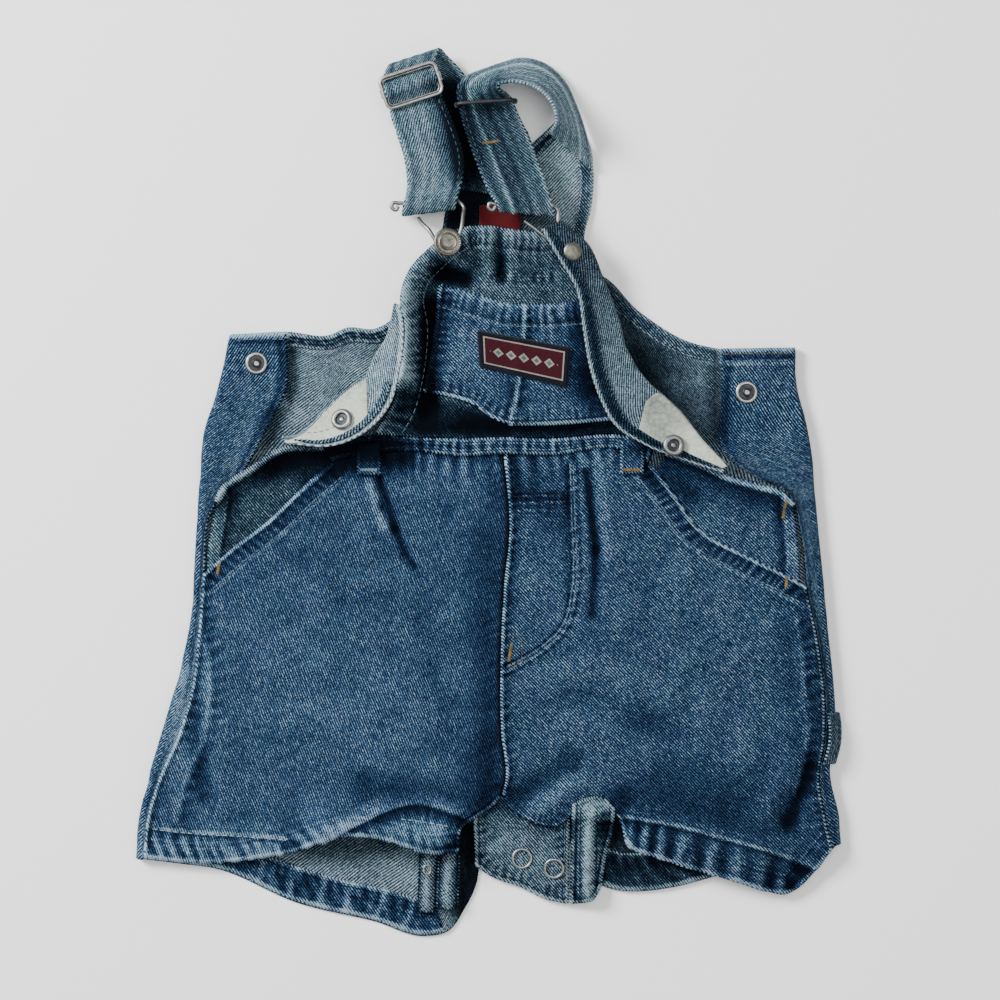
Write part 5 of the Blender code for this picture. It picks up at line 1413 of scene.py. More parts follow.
# The most of a wing's width that the radius of its bend may take, and the steps along a wing.
BEND_SHARE = 0.3
WING_STEPS = 240


def wing_section(row):
    """Free edge, crest of the fold, way in from it, width and radius of a wing's section."""
    free, fold = row[:3], row[3:6]
    width = np.linalg.norm((free - fold)[:2])
    flat_in = (free - fold) * (1, 1, 0) / width
    radius = min(row[7], BEND_SHARE * width)
    return free, fold + flat_in * radius, flat_in, width, radius


def folded_wing(sections, columns=26, turns=12):
    """Points of a wing: free edge, over the fold, and a short way back underneath."""
    grid = []
    for row in sections:
        free, crest, flat_in, _, radius = wing_section(row)
        centre = crest - (0, 0, radius)
        points = [free * (1 - share) + crest * share for share in np.linspace(0, 1, columns)]
        for angle in np.linspace(math.pi / turns, math.pi, turns):
            rise = (0, 0, radius * math.cos(angle))
            points.append(centre - flat_in * radius * math.sin(angle) + rise)
        for share in (0.5, 1.0):
            points.append(centre - (0, 0, radius) + flat_in * row[6] * share)
        grid.append(points)
    return np.array(grid)


def wing_strip(table, lining, columns, rows):
    """Part of a wing's upper layer, for a hem or a pocketing that lies on it."""
    sections = smooth(table, WING_STEPS + 1)
    grid = []
    for at in np.linspace(lining.start * WING_STEPS, lining.end * WING_STEPS, rows):
        free, crest, _, width, radius = wing_section(sections[int(round(at))])
        reach = width - radius
        near = min(lining.near, 0.68 * reach)
        far = min(lining.far, lining.most * reach)
        shares = np.linspace(near, far, columns) / reach
        grid.append([free * (1 - share) + crest * share for share in shares])
    return np.array(grid)


def on_top(grid, lift):
    """The same surface moved out along its own normals."""
    normal = grid_normals(grid)
    normal *= np.sign(normal[..., 2:].mean())
    return grid + normal * lift


def edge_tone(grid, near=1.4, far=3.2, pale=0.9, dark=-0.4, ends=True):
    """Paleness of a worn edge, with the dark line of its stitches beside it."""
    u, v = paced(grid)
    across = np.minimum(u, u[:, -1:] - u)
    if ends:
        across = np.minimum(across, np.minimum(v, v[-1:] - v))
    return np.interp(across, [0, near, far, far + 2.5], [pale, pale * 0.5, dark, 0])


POCKETING_GAP = 0.12
POCKETING_THICK = 0.6
POCKETING_EDGES = {
    "left": (
        [(-101, 25.8), (-92, 26.5), (-80, 27.8), (-70, 31.5), (-61, 38.5)],
        [(-102, 26.4), (-94.5, 29.5), (-81.5, 42), (-71.5, 51.5), (-61.8, 58)],
    ),
    "right": (
        [(74.5, 33), (83, 27.6), (95, 22.6), (106, 17.8), (116, 13.6)],
        [(78, 46.5), (83, 50.5), (93, 43.5), (104, 30), (118, 14.4)],
    ),
}
# Whole wings painted lighter or darker as light falls: painted light on the left wing, painted
# shade on the right.
WING_PAINTED_LIGHT = {"left": 0.3, "right": -0.15}
WING_HEM_SHADE = {"left": -0.15, "right": 0.75}
WING_CUTS = {
    "wing_left": (45, 110), "wing_right": (60, 190), "wing_hem_left": (10, 60),
    "wing_hem_right": (12, 150), "pocketing_left": (24, 50), "pocketing_right": (20, 36),
}


def build_wings():
    """The bib's sides, folded over with the wrong side up, with their hems and pocketing."""
    for side, table, flip in (("left", WING_LEFT, 1), ("right", WING_RIGHT, -1)):
        grid = folded_wing(smooth(table, 150))
        u, v = paced(grid)
        relief = np.minimum(0.35 * crumple(u, v, 16, 71) * np.clip(u / 6, 0, 1), 0.08)
        # Worn pale free edge, then painted light on the left wing and painted shade on the right;
        # the right wing is also painted darker towards its upper end.
        tone = np.interp(u, [0, 1.2, 2.3, 6], [0.9, 0.6, -0.5, 0]) + WING_PAINTED_LIGHT[side]
        tone = tone - 0.8 * np.exp(-(v / 45.0) ** 2) * (side == "right") * np.clip(u / 4, 0, 1)
        node = "wing_" + side
        bent_cloth(node, grid, INSIDE_WING, WING_CUTS[node], relief=relief,
                   tone=tone, under=FACE_DARK, flip=flip)
        node = "wing_hem_" + side
        strip = on_top(wing_strip(table, WING_LININGS[side][node], 16, 130), LINING_LIFT)
        u, v = paced(strip)
        relief = np.clip(0.25 * gathers(v, u, 4.6, 0.3, 73), -0.1, 0.4)
        bent_cloth(node, strip, FACE_DARK, WING_CUTS[node], FACING, relief=relief,
                   tone=edge_tone(strip, 0.8, 2.0, 0.3, -0.4) - WING_HEM_SHADE[side],
                   flip=1 if grid_normals(strip)[..., 2].mean() > 0 else -1)
        bag = band_grid(*POCKETING_EDGES[side], 60, 34)
        node = "pocketing_" + side
        laid_cloth(node, bag, on_cloth(["wing_" + side], POCKETING_GAP), POCKETING,
                   WING_CUTS[node], ["wing_" + side], (), POCKETING_THICK, dents=(0.1, 8.0, 75),
                   wear_and_shade=POCKETING_SHADE)


def on_cloth(nodes, gap):
    """Height of what lies on these cloths."""
    def height(x, y):
        spots = [seat(nodes, *spot) for spot in zip(np.ravel(x), np.ravel(y))]
        lowest = min(spot[0].z for spot in spots if spot)
        heights = [(spot[0].z if spot else lowest) / MM + gap for spot in spots]
        return np.array(heights).reshape(np.shape(x))
    return height


def wrapped_back(panel, fold_edge, outseam, wrap_columns=24, turns=9):
    """A back panel that lies flat, folds up at the side and ends in the outseam on top."""
    rows, columns = panel.shape[:2]
    edge = smooth(fold_edge, rows)
    seam = smooth(outseam, rows)
    # The wrap takes the place of the outer seventh of the flat panel.
    first = round((columns - 1) / 7)
    middle = panel[:, first]
    out = edge - middle[:, :2]
    out /= np.linalg.norm(out, axis=1)[:, None]
    low = DENIM / 2
    seam_z = front_height(seam[:, 0], seam[:, 1]) - OUTSEAM_SINK
    seam_z = np.maximum(seam_z, 2 * SIDE_FOLD + low)
    sections = []
    for i in range(rows):
        bend = edge[i] - out[i] * SIDE_FOLD
        reach = min(SIDE_FOLD, np.linalg.norm(seam[i] - edge[i]) * 0.8)
        top = edge[i] - out[i] * reach
        knots = [(*(middle[i] * (1 - share) + bend * share), low)
                 for share in np.linspace(0.1, 1, 10)]
        for angle in np.linspace(-math.pi / 2, math.pi / 2, turns)[1:-1]:
            radius = SIDE_FOLD if angle < 0 else reach
            spot = edge[i] - out[i] * radius * (1 - math.cos(angle))
            knots.append((*spot, low + SIDE_FOLD * (1 + math.sin(angle))))
        rise = low + 2 * SIDE_FOLD
        for share in np.linspace(0, 1, wrap_columns):
            spot = top * (1 - share) + seam[i] * share
            knots.append((*spot, rise * (1 - share) + seam_z[i] * share))
        sections.append(knots[::-1])
    flat = panel[:, first:]
    flat = np.dstack([flat[..., 0], flat[..., 1], np.full(flat.shape[:2], low)])
    return np.concatenate([np.array(sections), flat], axis=1), wrap_columns


def build_back():
    """Both back panels, the yoke that carries the straps, turned hems and the neck tab."""
    centre_left = [BACK_HEM_LEFT[-1], BACK_TOP_LEFT[-1]]
    centre_right = [BACK_HEM_RIGHT[0], BACK_TOP_RIGHT[0]]
    columns, rows = grid_count(100, 200)
    for side, flip, hem, top, fold, centre, outseam in (
        ("left", 1, BACK_HEM_LEFT, BACK_TOP_LEFT, SIDE_FOLD_LEFT, centre_left, OUTSEAM_LEFT),
        ("right", -1, BACK_HEM_RIGHT[::-1], BACK_TOP_RIGHT[::-1], SIDE_FOLD_RIGHT, centre_right,
         OUTSEAM_RIGHT),
    ):
        panel = panel_grid(hem, top, fold, centre, columns, rows)
        grid, wrap = wrapped_back(panel, fold, outseam)
        u, v = paced(grid)
        on_wrap = np.zeros(grid.shape[1])
        on_wrap[:wrap] = 1.0
        share = np.clip((u - 2) / 6, 0, 1) * on_wrap[None]
        relief = 0.45 * crumple(grid[..., 0], grid[..., 1], 17, 81) * share
        tone = np.interp(u, [0, 1.2, 2.4, 5], [0.3, 0.1, -0.5, 0]) * on_wrap[None]
        from_top = v[-1:] - v
        tone = tone + np.interp(from_top, [0, 1.4, 2.4, 4, 9, 10, 11.5],
                                [0.9, 0.3, -0.3, 0, 0, -0.4, 0])
        ground = 0.5 * np.maximum(crumple(grid[..., 0], grid[..., 1], 24, 83), 0)
        ground = ground + folded_height(grid[..., 0], grid[..., 1], BACK_FOLDS)
        relief = relief + np.where(on_wrap[None] > 0, 0, ground)
        bent_cloth("back_" + side, grid, INSIDE_BACK, (230, 330), relief=relief,
                   tone=tone, under=FACE_SIDE, flip=flip, rim_under=True, wear_and_shade=BACK_WEAR_AND_SHADE)
    yoke = panel_grid(YOKE_BOTTOM, YOKE_TOP, YOKE_LEFT, YOKE_RIGHT, *grid_count(75, 75))
    seams = [Seam(YOKE_LEFT[::-1], SEWN_EDGE, 4.5, 0.1, 0.1, 85),
             Seam(YOKE_RIGHT, SEWN_EDGE, 4.5, 0.1, 0.1, 86)]
    laid_cloth("back_yoke", yoke, level(0.0), INSIDE_BACK, (100, 90), [], seams,
               dents=(0.1, 20.0, 87), wear_and_shade=YOKE_SHADE_AND_LIGHT)
    on_back = level(DENIM + SEAM_GAP)
    for node, lower, upper, cut in (
        ("back_hem_left", BACK_HEM_EDGE_LEFT, BACK_HEM_TURN_LEFT, (135, 24)),
        ("back_hem_right", BACK_HEM_EDGE_RIGHT, BACK_HEM_TURN_RIGHT, (60, 24)),
        ("armhole_hem_left", ARMHOLE_TURN_LEFT, ARMHOLE_EDGE_LEFT, (85, 12)),
        ("armhole_hem_right", ARMHOLE_TURN_RIGHT, ARMHOLE_EDGE_RIGHT, (150, 12)),
        ("neck_hem", NECK_TURN, NECK_EDGE, (62, 12)),
    ):
        grid = band_grid(lower, upper, *grid_count(cut[0], 14))
        wide = node.startswith("back_hem")
        seams = [Seam(lower, HEM if wide else SEWN_EDGE, 10.0 if wide else 4.4, 0.5, 0.6, 88),
                 Seam(upper[::-1], SEWN_EDGE, 6.0 if wide else 4.4, 0.3, 0.3, 89)]
        rests = ["back_yoke"] if "neck" in node else ["back_" + node.split("_")[-1]]
        finish = FACE_SIDE if node == "back_hem_left" else FACE_DARK
        laid_cloth(node, grid, on_back, finish, cut, rests, seams,
                   FACING, dents=(0.15, 15.0, 90), wear_and_shade=HEM_WEAR_AND_SHADE)
    tab = corner_grid(NECK_TAB_CORNERS, *grid_count(22, 15))
    laid_cloth("neck_tab", tab, on_back, TAPE, (22, 16), ["back_yoke"], (),
               FACING, dents=(0.05, 12.0, 91))


def build_crotch():
    """Snap placket between the legs, the placket ends in the left leg, and the tool loop."""
    for node, lower, upper, height, cut, seed in (
        ("crotch_placket", CROTCH_BOTTOM, CROTCH_TOP, crotch_height, (60, 64), 95),
        ("crotch_placket_under", CROTCH_UNDER_BOTTOM, CROTCH_UNDER_TOP, crotch_under_height,
         (30, 60), 98),
    ):
        end = CROTCH_UNDER_OUTER if "under" in node else [lower[-1], upper[-1]]
        start = [lower[0], upper[0]]
        panel = panel_grid(lower, upper, start, end, *grid_count(55, 55))
        seams = [Seam(lower, SEWN_EDGE, 4.4, 0.3, 0.2, seed),
                 Seam(start[::-1], SEWN_EDGE, 4.4, 0.25, 0.2, seed + 1),
                 Seam(end, SEWN_EDGE, 4.4, 0.25, 0.2, seed + 2)]
        if "under" in node:
            seams.append(Seam([(49, -203), (49.5, -158)], RIBBED_ROLL, 2.2, 0.14, 0.4, 99))
        laid_cloth(node, panel, height, FACE_DARK, cut, ["back_right"], seams,
                   dents=(0.3, 13.0, seed + 3), wear_and_shade=CROTCH_WEAR_AND_SHADE)
    for node, (left, right, low, high) in LEG_PLACKETS.items():
        corners = [(left, low), (right, low), (right + 1, high), (left + 1, high)]
        grid = corner_grid(corners, *grid_count(20, 34))
        middle = [((left + right) / 2 + lean, at) for at, lean in ((low, 0), (high, 1))]
        seams = [Seam(middle, RIBBED_ROLL, 1.9, 0.12, 0.5, 102)]
        laid_cloth("leg_placket_" + node, grid, leg_placket_height, FACE_DARK,
                   (24, 34), ["back_left"], seams, dents=(0.2, 12.0, 105))
    route = smooth(TOOL_LOOP, 40)
    rungs = np.linspace(0, 1, 12)
    bow = np.sin(np.linspace(0, math.pi, len(route))) ** 0.5
    loop = np.array([[
        (point[0] + 0.8 - TOOL_LOOP_LEAN * rung, point[1],
         TOOL_LOOP_LOW + (TOOL_LOOP_HIGH - TOOL_LOOP_LOW) * rung - 1.2 * (1 - rise) * rung)
        for rung in rungs] for point, rise in zip(route, bow)])
    bent_cloth("tool_loop", loop, FACE_DARK, (14, 32),
               tone=edge_tone(loop, 0.6, 1.6, 0.4, -0.2))


# Points along and across a strap, and where across it the stitches lie.
STRAP_GRID = (300, 29)
STRAP_STITCH_COLUMNS = (2, 26)


def strap_grid(route, rows, columns):
    """Points of a strap along its route."""
    line = smooth(route, rows)
    across, lean = np.radians(line[:, 3]), np.radians(line[:, 4])
    side = np.stack([np.cos(across) * np.cos(lean), np.sin(across) * np.cos(lean),
                     np.sin(lean)], axis=1)
    offsets = np.linspace(-0.5, 0.5, columns)[None, :] * line[:, 5:6]
    return line[:, None, :3] + side[:, None, :] * offsets[..., None]


def build_straps():
    """Both straps with their worn edges, stitch lines and soft lengthwise creases."""
    for side, route in (("left", STRAP_LEFT_ROUTE), ("right", STRAP_RIGHT_ROUTE)):
        grid = strap_grid(route, *STRAP_GRID)
        u, v = paced(grid)
        from_edge = np.minimum(u, u[:, -1:] - u)
        deep = 0.3 if side == "left" else 0.55
        creases = deep * gathers(u, v * 0.12, 8.0, 0.6, 111) * np.clip(from_edge / 4, 0, 1)
        # Crease crests painted paler and troughs darker, as worn crests and painted shade.
        tone = edge_tone(grid, 1.0, 2.4, 0.5, -0.5, ends=False) + 0.25 * creases / deep
        if side == "right":
            inner_row = np.exp(-((u - 20) / 0.9) ** 2)
            creases = creases + 0.3 * inner_row
            tone = tone + 1.2 * inner_row + 0.35
        bent_cloth("strap_" + side, grid, STRAP_DENIM, (28, 460), STRAP_THICK,
                   relief=creases, tone=tone, wear_and_shade=STRAP_WEAR_AND_SHADE)


# ---------------------------------------------------------------------------
# Thread.

Stitch = namedtuple("Stitch", "centre along normal length radius")

# A stitch isn't laid over a step higher than this, and cloth is looked for from high above it.
STITCH_STEP = 2.5
HIGH_ABOVE = 80
THREAD = {colour: [] for colour in ("navy", "dusty", "pale", "white", "gold")}
TREES = {}


def on_table(place):
    """A place of the tables as the scene has it, in metres."""
    return (Vector(place) + Vector(CENTRE_SHIFT)) * MM


def seat(nodes, x, y):
    """Highest point of these cloths at a place on the table, with its normal."""
    best = None
    for node in nodes:
        if node not in TREES:
            graph = bpy.context.evaluated_depsgraph_get()
            TREES[node] = BVHTree.FromObject(CLOTHS[node], graph)
        above = on_table((x, y, HIGH_ABOVE))
        place, normal, _, _ = TREES[node].ray_cast(above, Vector((0, 0, -1)))
        if place is not None and (best is None or place.z > best[0].z):
            best = place, normal
    return best


def add_stitch(colour, first, last, normal, radius=0.19, sink=0.06):
    """One stitch between two points of the cloth's surface, in metres."""
    along = last - first
    length = along.length
    if length < 1e-6:
        return
    centre = (first + last) / 2 + normal * (radius - sink) * 0.6 * MM
    THREAD[colour].append(Stitch(centre, along / length, normal, length, radius * MM))


def moved_line(line, inward, pitch):
    """Points along a line, moved to its left."""
    rough = smooth(line, 60)[:, :2]
    total = np.linalg.norm(np.diff(rough, axis=0), axis=1).sum()
    points = smooth(line, max(int(total / pitch * 2), 4))[:, :2]
    run = np.gradient(points, axis=0)
    run /= np.maximum(np.linalg.norm(run, axis=1), 1e-9)[:, None]
    return points + np.stack([-run[:, 1], run[:, 0]], axis=1) * inward


def sew(nodes, line, inward, colour="navy", pitch=2.8):
    """A row of stitches laid on the named cloths, moved inward from a line."""
    nodes = nodes.split()
    points = moved_line(line, inward, pitch)
    for first, last in zip(points[0:-1:2], points[1::2]):
        gap = (last - first) * 0.2
        ends = [seat(nodes, *(first - gap)), seat(nodes, *(last + gap))]
        if None in ends or abs(ends[0][0].z - ends[1][0].z) > STITCH_STEP * MM:
            continue
        normal = (ends[0][1] + ends[1][1]).normalized()
        add_stitch(colour, ends[0][0], ends[1][0], normal)


def bartack(node, x, y, angle, length=9.0, width=1.7, colour="gold"):
    """A dense bar of zigzag stitches."""
    along = np.array([math.cos(math.radians(angle)), math.sin(math.radians(angle))])
    across = np.array([-along[1], along[0]])
    steps = int(length / 0.42)
    for step in range(steps):
        middle = np.array([x, y]) + along * (step / steps - 0.5) * length
        lean = along * 0.2 * (1 if step % 2 else -1)
        half = across * width / 2 + lean
        ends = [seat([node], *(middle - half)), seat([node], *(middle + half))]
        if None not in ends:
            add_stitch(colour, ends[0][0], ends[1][0], ends[0][1], 0.24)


def thread_mesh(name, stitches, finish, sides=6):
    """All the stitches of one colour as one mesh of small rounded bars."""
    rings = [(-0.5, 0.45), (-0.3, 1.0), (0.3, 1.0), (0.5, 0.45)]
    turn = np.arange(sides) * math.tau / sides
    template = np.array([(at, radius * math.cos(a), radius * math.sin(a) * 0.8)
                         for at, radius in rings for a in turn])
    walls = [[r * sides + k, r * sides + (k + 1) % sides, (r + 1) * sides + (k + 1) % sides,
              (r + 1) * sides + k] for r in range(3) for k in range(sides)]
    caps = [list(range(sides))[::-1], [3 * sides + k for k in range(sides)]]
    points, faces = [], []
    for number, stitch in enumerate(stitches):
        side = stitch.normal.cross(stitch.along).normalized()
        up = stitch.along.cross(side)
        frame_of = np.array([stitch.along * stitch.length, side * stitch.radius,
                             up * stitch.radius])
        points.append(template @ frame_of + np.array(stitch.centre))
        base = number * len(template)
        faces += [[base + k for k in face] for face in walls + caps]
    mesh = bpy.data.meshes.new(name)
    mesh.from_pydata(np.concatenate(points).tolist(), [], faces)
    mesh.materials.append(finish)
    mesh.shade_smooth()
    piece = placed(name, mesh)
    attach(piece, "root")


def thread(name, colour, shade):
    """Spun thread with a little twist and dirt in its colour."""
    finish = Finish(name, 0.7, sheen=0.1)
    place = finish.node("ShaderNodeTexCoord", {}, {}, 3)
    finish.colour(finish.ramp(finish.noise(place, 260.0, 3.0), (0.3, shade), (0.7, colour)))
    finish.bump(finish.noise(place, 2600.0, 1.0), 0.00005)
    return finish.material


def strap_stitches(route):
    """Two rows of stitches along each face of a strap."""
    grid = strap_grid(route, *STRAP_GRID)
    normal = grid_normals(grid)
    for column in STRAP_STITCH_COLUMNS:
        for face in (1, -1):
            line = grid[:, column] + normal[:, column] * face * STRAP_THICK / 2
            for row in range(4, 294, 5):
                first = Vector((line[row] + CENTRE_SHIFT) * MM)
                last = Vector((line[row + 3] + CENTRE_SHIFT) * MM)
                add_stitch("dusty", first, last, Vector(normal[row + 1, column]) * face, 0.15)


def build_thread():
    """Every row of stitches and every bartack that shows."""
    pockets = "bib_pocket_left bib_pocket_right"
    rows = [
        ("front_left", HEM_STITCH_LEFT, 0.0, "white", 3.4),
        ("front_left", [(-44, -161.5), (-32, -163), (-21, -165)], 0.0, "white", 3.2),
        ("front_right", HEM_STITCH_RIGHT, 0.0, "navy", 3.0),
        ("front_right", CENTRE_FRONT[-1:] + CENTRE_FRONT[-2:-1], -1.6, "gold", 3.0),
        ("front_right", FRONT_HEM_RIGHT[:7], 2.0, "navy", 3.0),
        ("front_right", SIDE_SEAM_RIGHT, 2.6, "navy", 3.0),
        ("front_left", SIDE_SEAM_LEFT[::-1], 2.6, "navy", 3.0),
        ("front_left", FRONT_TOP_LEFT[4::-1], 8.3, "pale", 2.8),
        ("front_left", FRONT_TOP_LEFT[4::-1], 9.6, "pale", 2.8),
        ("front_right", FRONT_TOP_RIGHT[:2:-1], 8.3, "pale", 2.8),
        ("front_right", FRONT_TOP_RIGHT[:2:-1], 9.6, "pale", 2.8),
        ("front_left", CENTRE_FRONT, 1.9, "navy", 3.0),
        ("front_right", FLY_STITCH, 0.0, "pale", 2.8),
        ("front_right", FLY_STITCH, 1.6, "pale", 2.8),
        ("front_right", [(9, -70), (16, -70)], 0.0, "gold", 2.0),
        ("front_right", [(9, -85), (16, -84)], 0.0, "gold", 2.0),
        ("front_right", [(16, -70), (16, -84)], 0.0, "gold", 2.0),
        ("waistband", WAIST_LOWER, 1.5, "navy", 2.7),
        ("waistband", WAIST_UPPER[::-1], 1.5, "navy", 2.7),
        ("bib", BIB_TOP[::-1], 9.0),
        ("bib", BIB_YOKE_STITCH, 0.0),
        ("bib", BIB_LEFT[::-1], 10.9, "pale", 3.0),
        (pockets, POCKET_TOP[::-1], 9.2, "navy", 2.7),
        (pockets, POCKET_TOP[::-1], 10.8, "pale", 2.7),
        (pockets, POCKET_BOTTOM, 2.2, "navy", 2.7),
        (pockets, POCKET_BOTTOM, 4.6, "navy", 2.7),
        (pockets, POCKET_CENTRE, 1.3),
        (pockets, POCKET_LEFT[::-1], 2.0),
        ("back_left", [(-104, 78), (-116, 78.2), (-128, 77.4)], 0.0, "pale", 2.8),
        ("back_left", [(-104, 74.5), (-116, 74.8), (-128, 74)], 0.0),
        ("back_right", [(118, 70.5), (134, 71), (150.5, 71)], 0.0, "gold", 2.8),
        ("back_right", [(118, 67), (134, 67.5), (150.5, 67.5)], 0.0, "pale", 2.8),
        ("back_right", [(118, 64), (134, 64.5), (150.5, 64.5)], 0.0),
        ("armhole_hem_left", ARMHOLE_TURN_LEFT, 1.0),
        ("armhole_hem_right", ARMHOLE_TURN_RIGHT, -1.0),
        ("neck_hem", NECK_TURN, 1.0),
        ("back_hem_left", BACK_HEM_TURN_LEFT, -1.0),
        ("back_hem_right", BACK_HEM_TURN_RIGHT, -1.0),
        ("crotch_placket", CROTCH_BOTTOM, 2.2),
        ("crotch_placket", [CROTCH_BOTTOM[0], CROTCH_TOP[0]], -2.2),
        ("crotch_placket", [CROTCH_BOTTOM[-1], CROTCH_TOP[-1]], 2.0, "pale", 2.8),
        ("pocketing_left", [(-94.5, 29), (-85, 29.5), (-76, 32.5), (-69, 36)], 2.0, "pale", 3.0),
    ]
    rows += [("front_right", line, 0.0, "navy", 2.6) for line in FLY_RUNGS]
    rows += [("pocket_patch", edge, 0.9, "navy", 2.2) for edge in PATCH_EDGES]
    for row in rows:
        sew(*row)
    for tack in (
        ("belt_loop_left", -60.5, 12.6, 0, 8.5, 1.6, "pale"),
        ("belt_loop_right", 71.0, 12.6, 0, 8.5, 1.6), ("strap_right", 0.5, 176, 8, 8.0, 1.4),
        ("back_left", -133.5, -1.5, 0), ("front_left", -135.5, -35, 80),
        ("front_right", 148.5, -41.5, 85), ("front_right", 10.2, -78.5, 80),
        ("pocket_facing_right", 147.5, -7, 80),
    ):
        bartack(*tack)
    strap_stitches(STRAP_LEFT_ROUTE)
    strap_stitches(STRAP_RIGHT_ROUTE)
    for colour, finish in (
        ("navy", thread("navy_thread", paint(16, 28, 42), paint(4, 9, 16))),
        ("dusty", thread("dusty_thread", paint(84, 106, 118), paint(44, 62, 76))),
        ("pale", thread("pale_thread", paint(110, 132, 146), paint(44, 64, 80))),
        ("white", thread("white_thread", paint(170, 180, 184), paint(96, 112, 122))),
        ("gold", thread("golden_thread", paint(128, 102, 60), paint(72, 60, 40))),
    ):
        thread_mesh(colour + "_stitches", THREAD[colour], finish)


# ---------------------------------------------------------------------------
# Metal.

def deselect():
    """Leave nothing selected."""
    for chosen in bpy.context.selected_objects:
        chosen.select_set(False)


def finished(piece, name, finish, nodes=None):
    """A metal piece with its name and finish, in the place of its nodes."""
    piece.name = piece.data.name = name
    piece.data.materials.clear()
    piece.data.materials.append(finish)
    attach(piece, "root")
    if nodes is not None:
        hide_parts(*nodes)
    return piece


def turned_to(facing):
    """Turn from straight up to a direction."""
    return Vector((0, 0, 1)).rotation_difference(Vector(facing)).to_matrix().to_4x4()


def moved_to(place):
    """Move from the origin to a place on the table."""
    return Matrix.Translation(on_table(place))


def turned(node, profile, place, facing, finish, sides=48):
    """A turned fastener: a disc extruded and resized through its profile, then seated."""
    deselect()
    radius, height = profile[1]
    bpy.ops.mesh.primitive_circle_add(
        vertices=sides, radius=radius * MM, fill_type="NGON", location=(0, 0, 0),
    )
    piece = bpy.context.object
    bpy.ops.object.mode_set(mode="EDIT")
    bpy.ops.mesh.select_all(action="SELECT")
    for next_radius, next_height in profile[2:]:
        next_radius = max(next_radius, 0.02)
        bpy.ops.mesh.extrude_region_move(
            TRANSFORM_OT_translate={"value": (0, 0, (next_height - height) * MM)},
        )
        scale = next_radius / radius
        bpy.ops.transform.resize(value=(scale, scale, 1.0))
        radius, height = next_radius, next_height
    bpy.ops.mesh.select_all(action="SELECT")
    bpy.ops.mesh.normals_make_consistent(inside=False)
    bpy.ops.object.mode_set(mode="OBJECT")
    piece.data.transform(moved_to(place) @ turned_to(facing))
    bpy.ops.object.shade_smooth_by_angle(angle=math.radians(38))
    return finished(piece, node + "_metal", finish, [node])


def surface_seat(height, thick, spot, step=3.0):
    """Place and normal of a fastener on a laid panel."""
    x, y = spot
    slope_x = float(height(x + step, y) - height(x - step, y)) / (2 * step)
    slope_y = float(height(x, y + step) - height(x, y - step)) / (2 * step)
    top = max(float(height(x + a, y + b)) for a in (-1, 0, 1) for b in (-1, 0, 1))
    return (x, y, top + thick + FASTENER_GAP), Vector((-slope_x, -slope_y, 1)).normalized()


def sheet_seat(table, spot, lift):
    """Place and normal of a fastener on the upper layer of a wing."""
    grid = folded_wing(smooth(table, 60), columns=6)[:, :6]
    away = np.hypot(grid[..., 0] - spot[0], grid[..., 1] - spot[1])
    row, column = np.unravel_index(np.argmin(away), away.shape)
    row, column = min(max(row, 1), grid.shape[0] - 2), min(max(column, 1), 4)
    along = Vector(grid[row + 1, column] - grid[row - 1, column])
    across = Vector(grid[row, column + 1] - grid[row, column - 1])
    normal = along.cross(across).normalized()
    if normal.z < 0:
        normal.negate()
    return Vector(grid[row, column]) + normal * (lift + FASTENER_GAP), normal


def darken(piece, finish, place, near, far):
    """Give the hollow ring of a fastener a duller finish."""
    piece.data.materials.append(finish)
    centre = on_table(place)
    for face in piece.data.polygons:
        face.material_index = int(near * MM < (face.center - centre).length < far * MM)


def beads(name, count, radius, size, place, facing, finish):
    """A ring of small beads raised on a button, modelled once and copied."""
    deselect()
    bpy.ops.mesh.primitive_ico_sphere_add(subdivisions=1, radius=size * MM, location=(0, 0, 0))
    made = [bpy.context.object]
    made += [placed("bead", made[0].data.copy()) for _ in range(count - 1)]
    for step, bead in enumerate(made):
        angle = math.tau * step / count
        spot = turned_to(facing) @ Vector((math.cos(angle), math.sin(angle), 0)) * radius
        bead.data.transform(moved_to(Vector(place) + spot))
        bead.select_set(True)
    bpy.context.view_layer.objects.active = made[0]
    bpy.ops.object.join()
    piece = bpy.context.object
    piece.data.shade_smooth()
    finished(piece, name, finish)


def ring_snap(node, place, facing):
    """An open prong ring with the denim showing inside it."""
    deselect()
    bpy.ops.mesh.primitive_torus_add(major_segments=64, minor_segments=14,
                                     major_radius=4.6 * MM, minor_radius=0.62 * MM)
    piece = bpy.context.object
    flatter = Matrix.Diagonal((1, 1, 0.8, 1))
    piece.data.transform(moved_to(place) @ turned_to(facing) @ flatter)
    piece.data.shade_smooth()
    finished(piece, node + "_metal", SILVER, [node])


def wire(name, points, diameter, finish, closed=False, nodes=()):
    """A bent wire: a round curve made a mesh, in the place of its nodes."""
    curve = bpy.data.curves.new(name, "CURVE")
    curve.dimensions = "3D"
    curve.bevel_depth = diameter / 2 * MM
    curve.bevel_resolution = 5
    curve.use_fill_caps = True
    spline = curve.splines.new("POLY")
    spline.points.add(len(points) - 1)
    for knot, point in zip(spline.points, points):
        knot.co = (*((np.array(point) + CENTRE_SHIFT) * MM), 1.0)
    spline.use_cyclic_u = closed
    guide = placed(name, curve)
    deselect()
    guide.select_set(True)
    bpy.context.view_layer.objects.active = guide
    bpy.ops.object.convert(target="MESH")
    piece = bpy.context.object
    piece.data.shade_smooth()
    finished(piece, name + "_metal", finish, nodes)


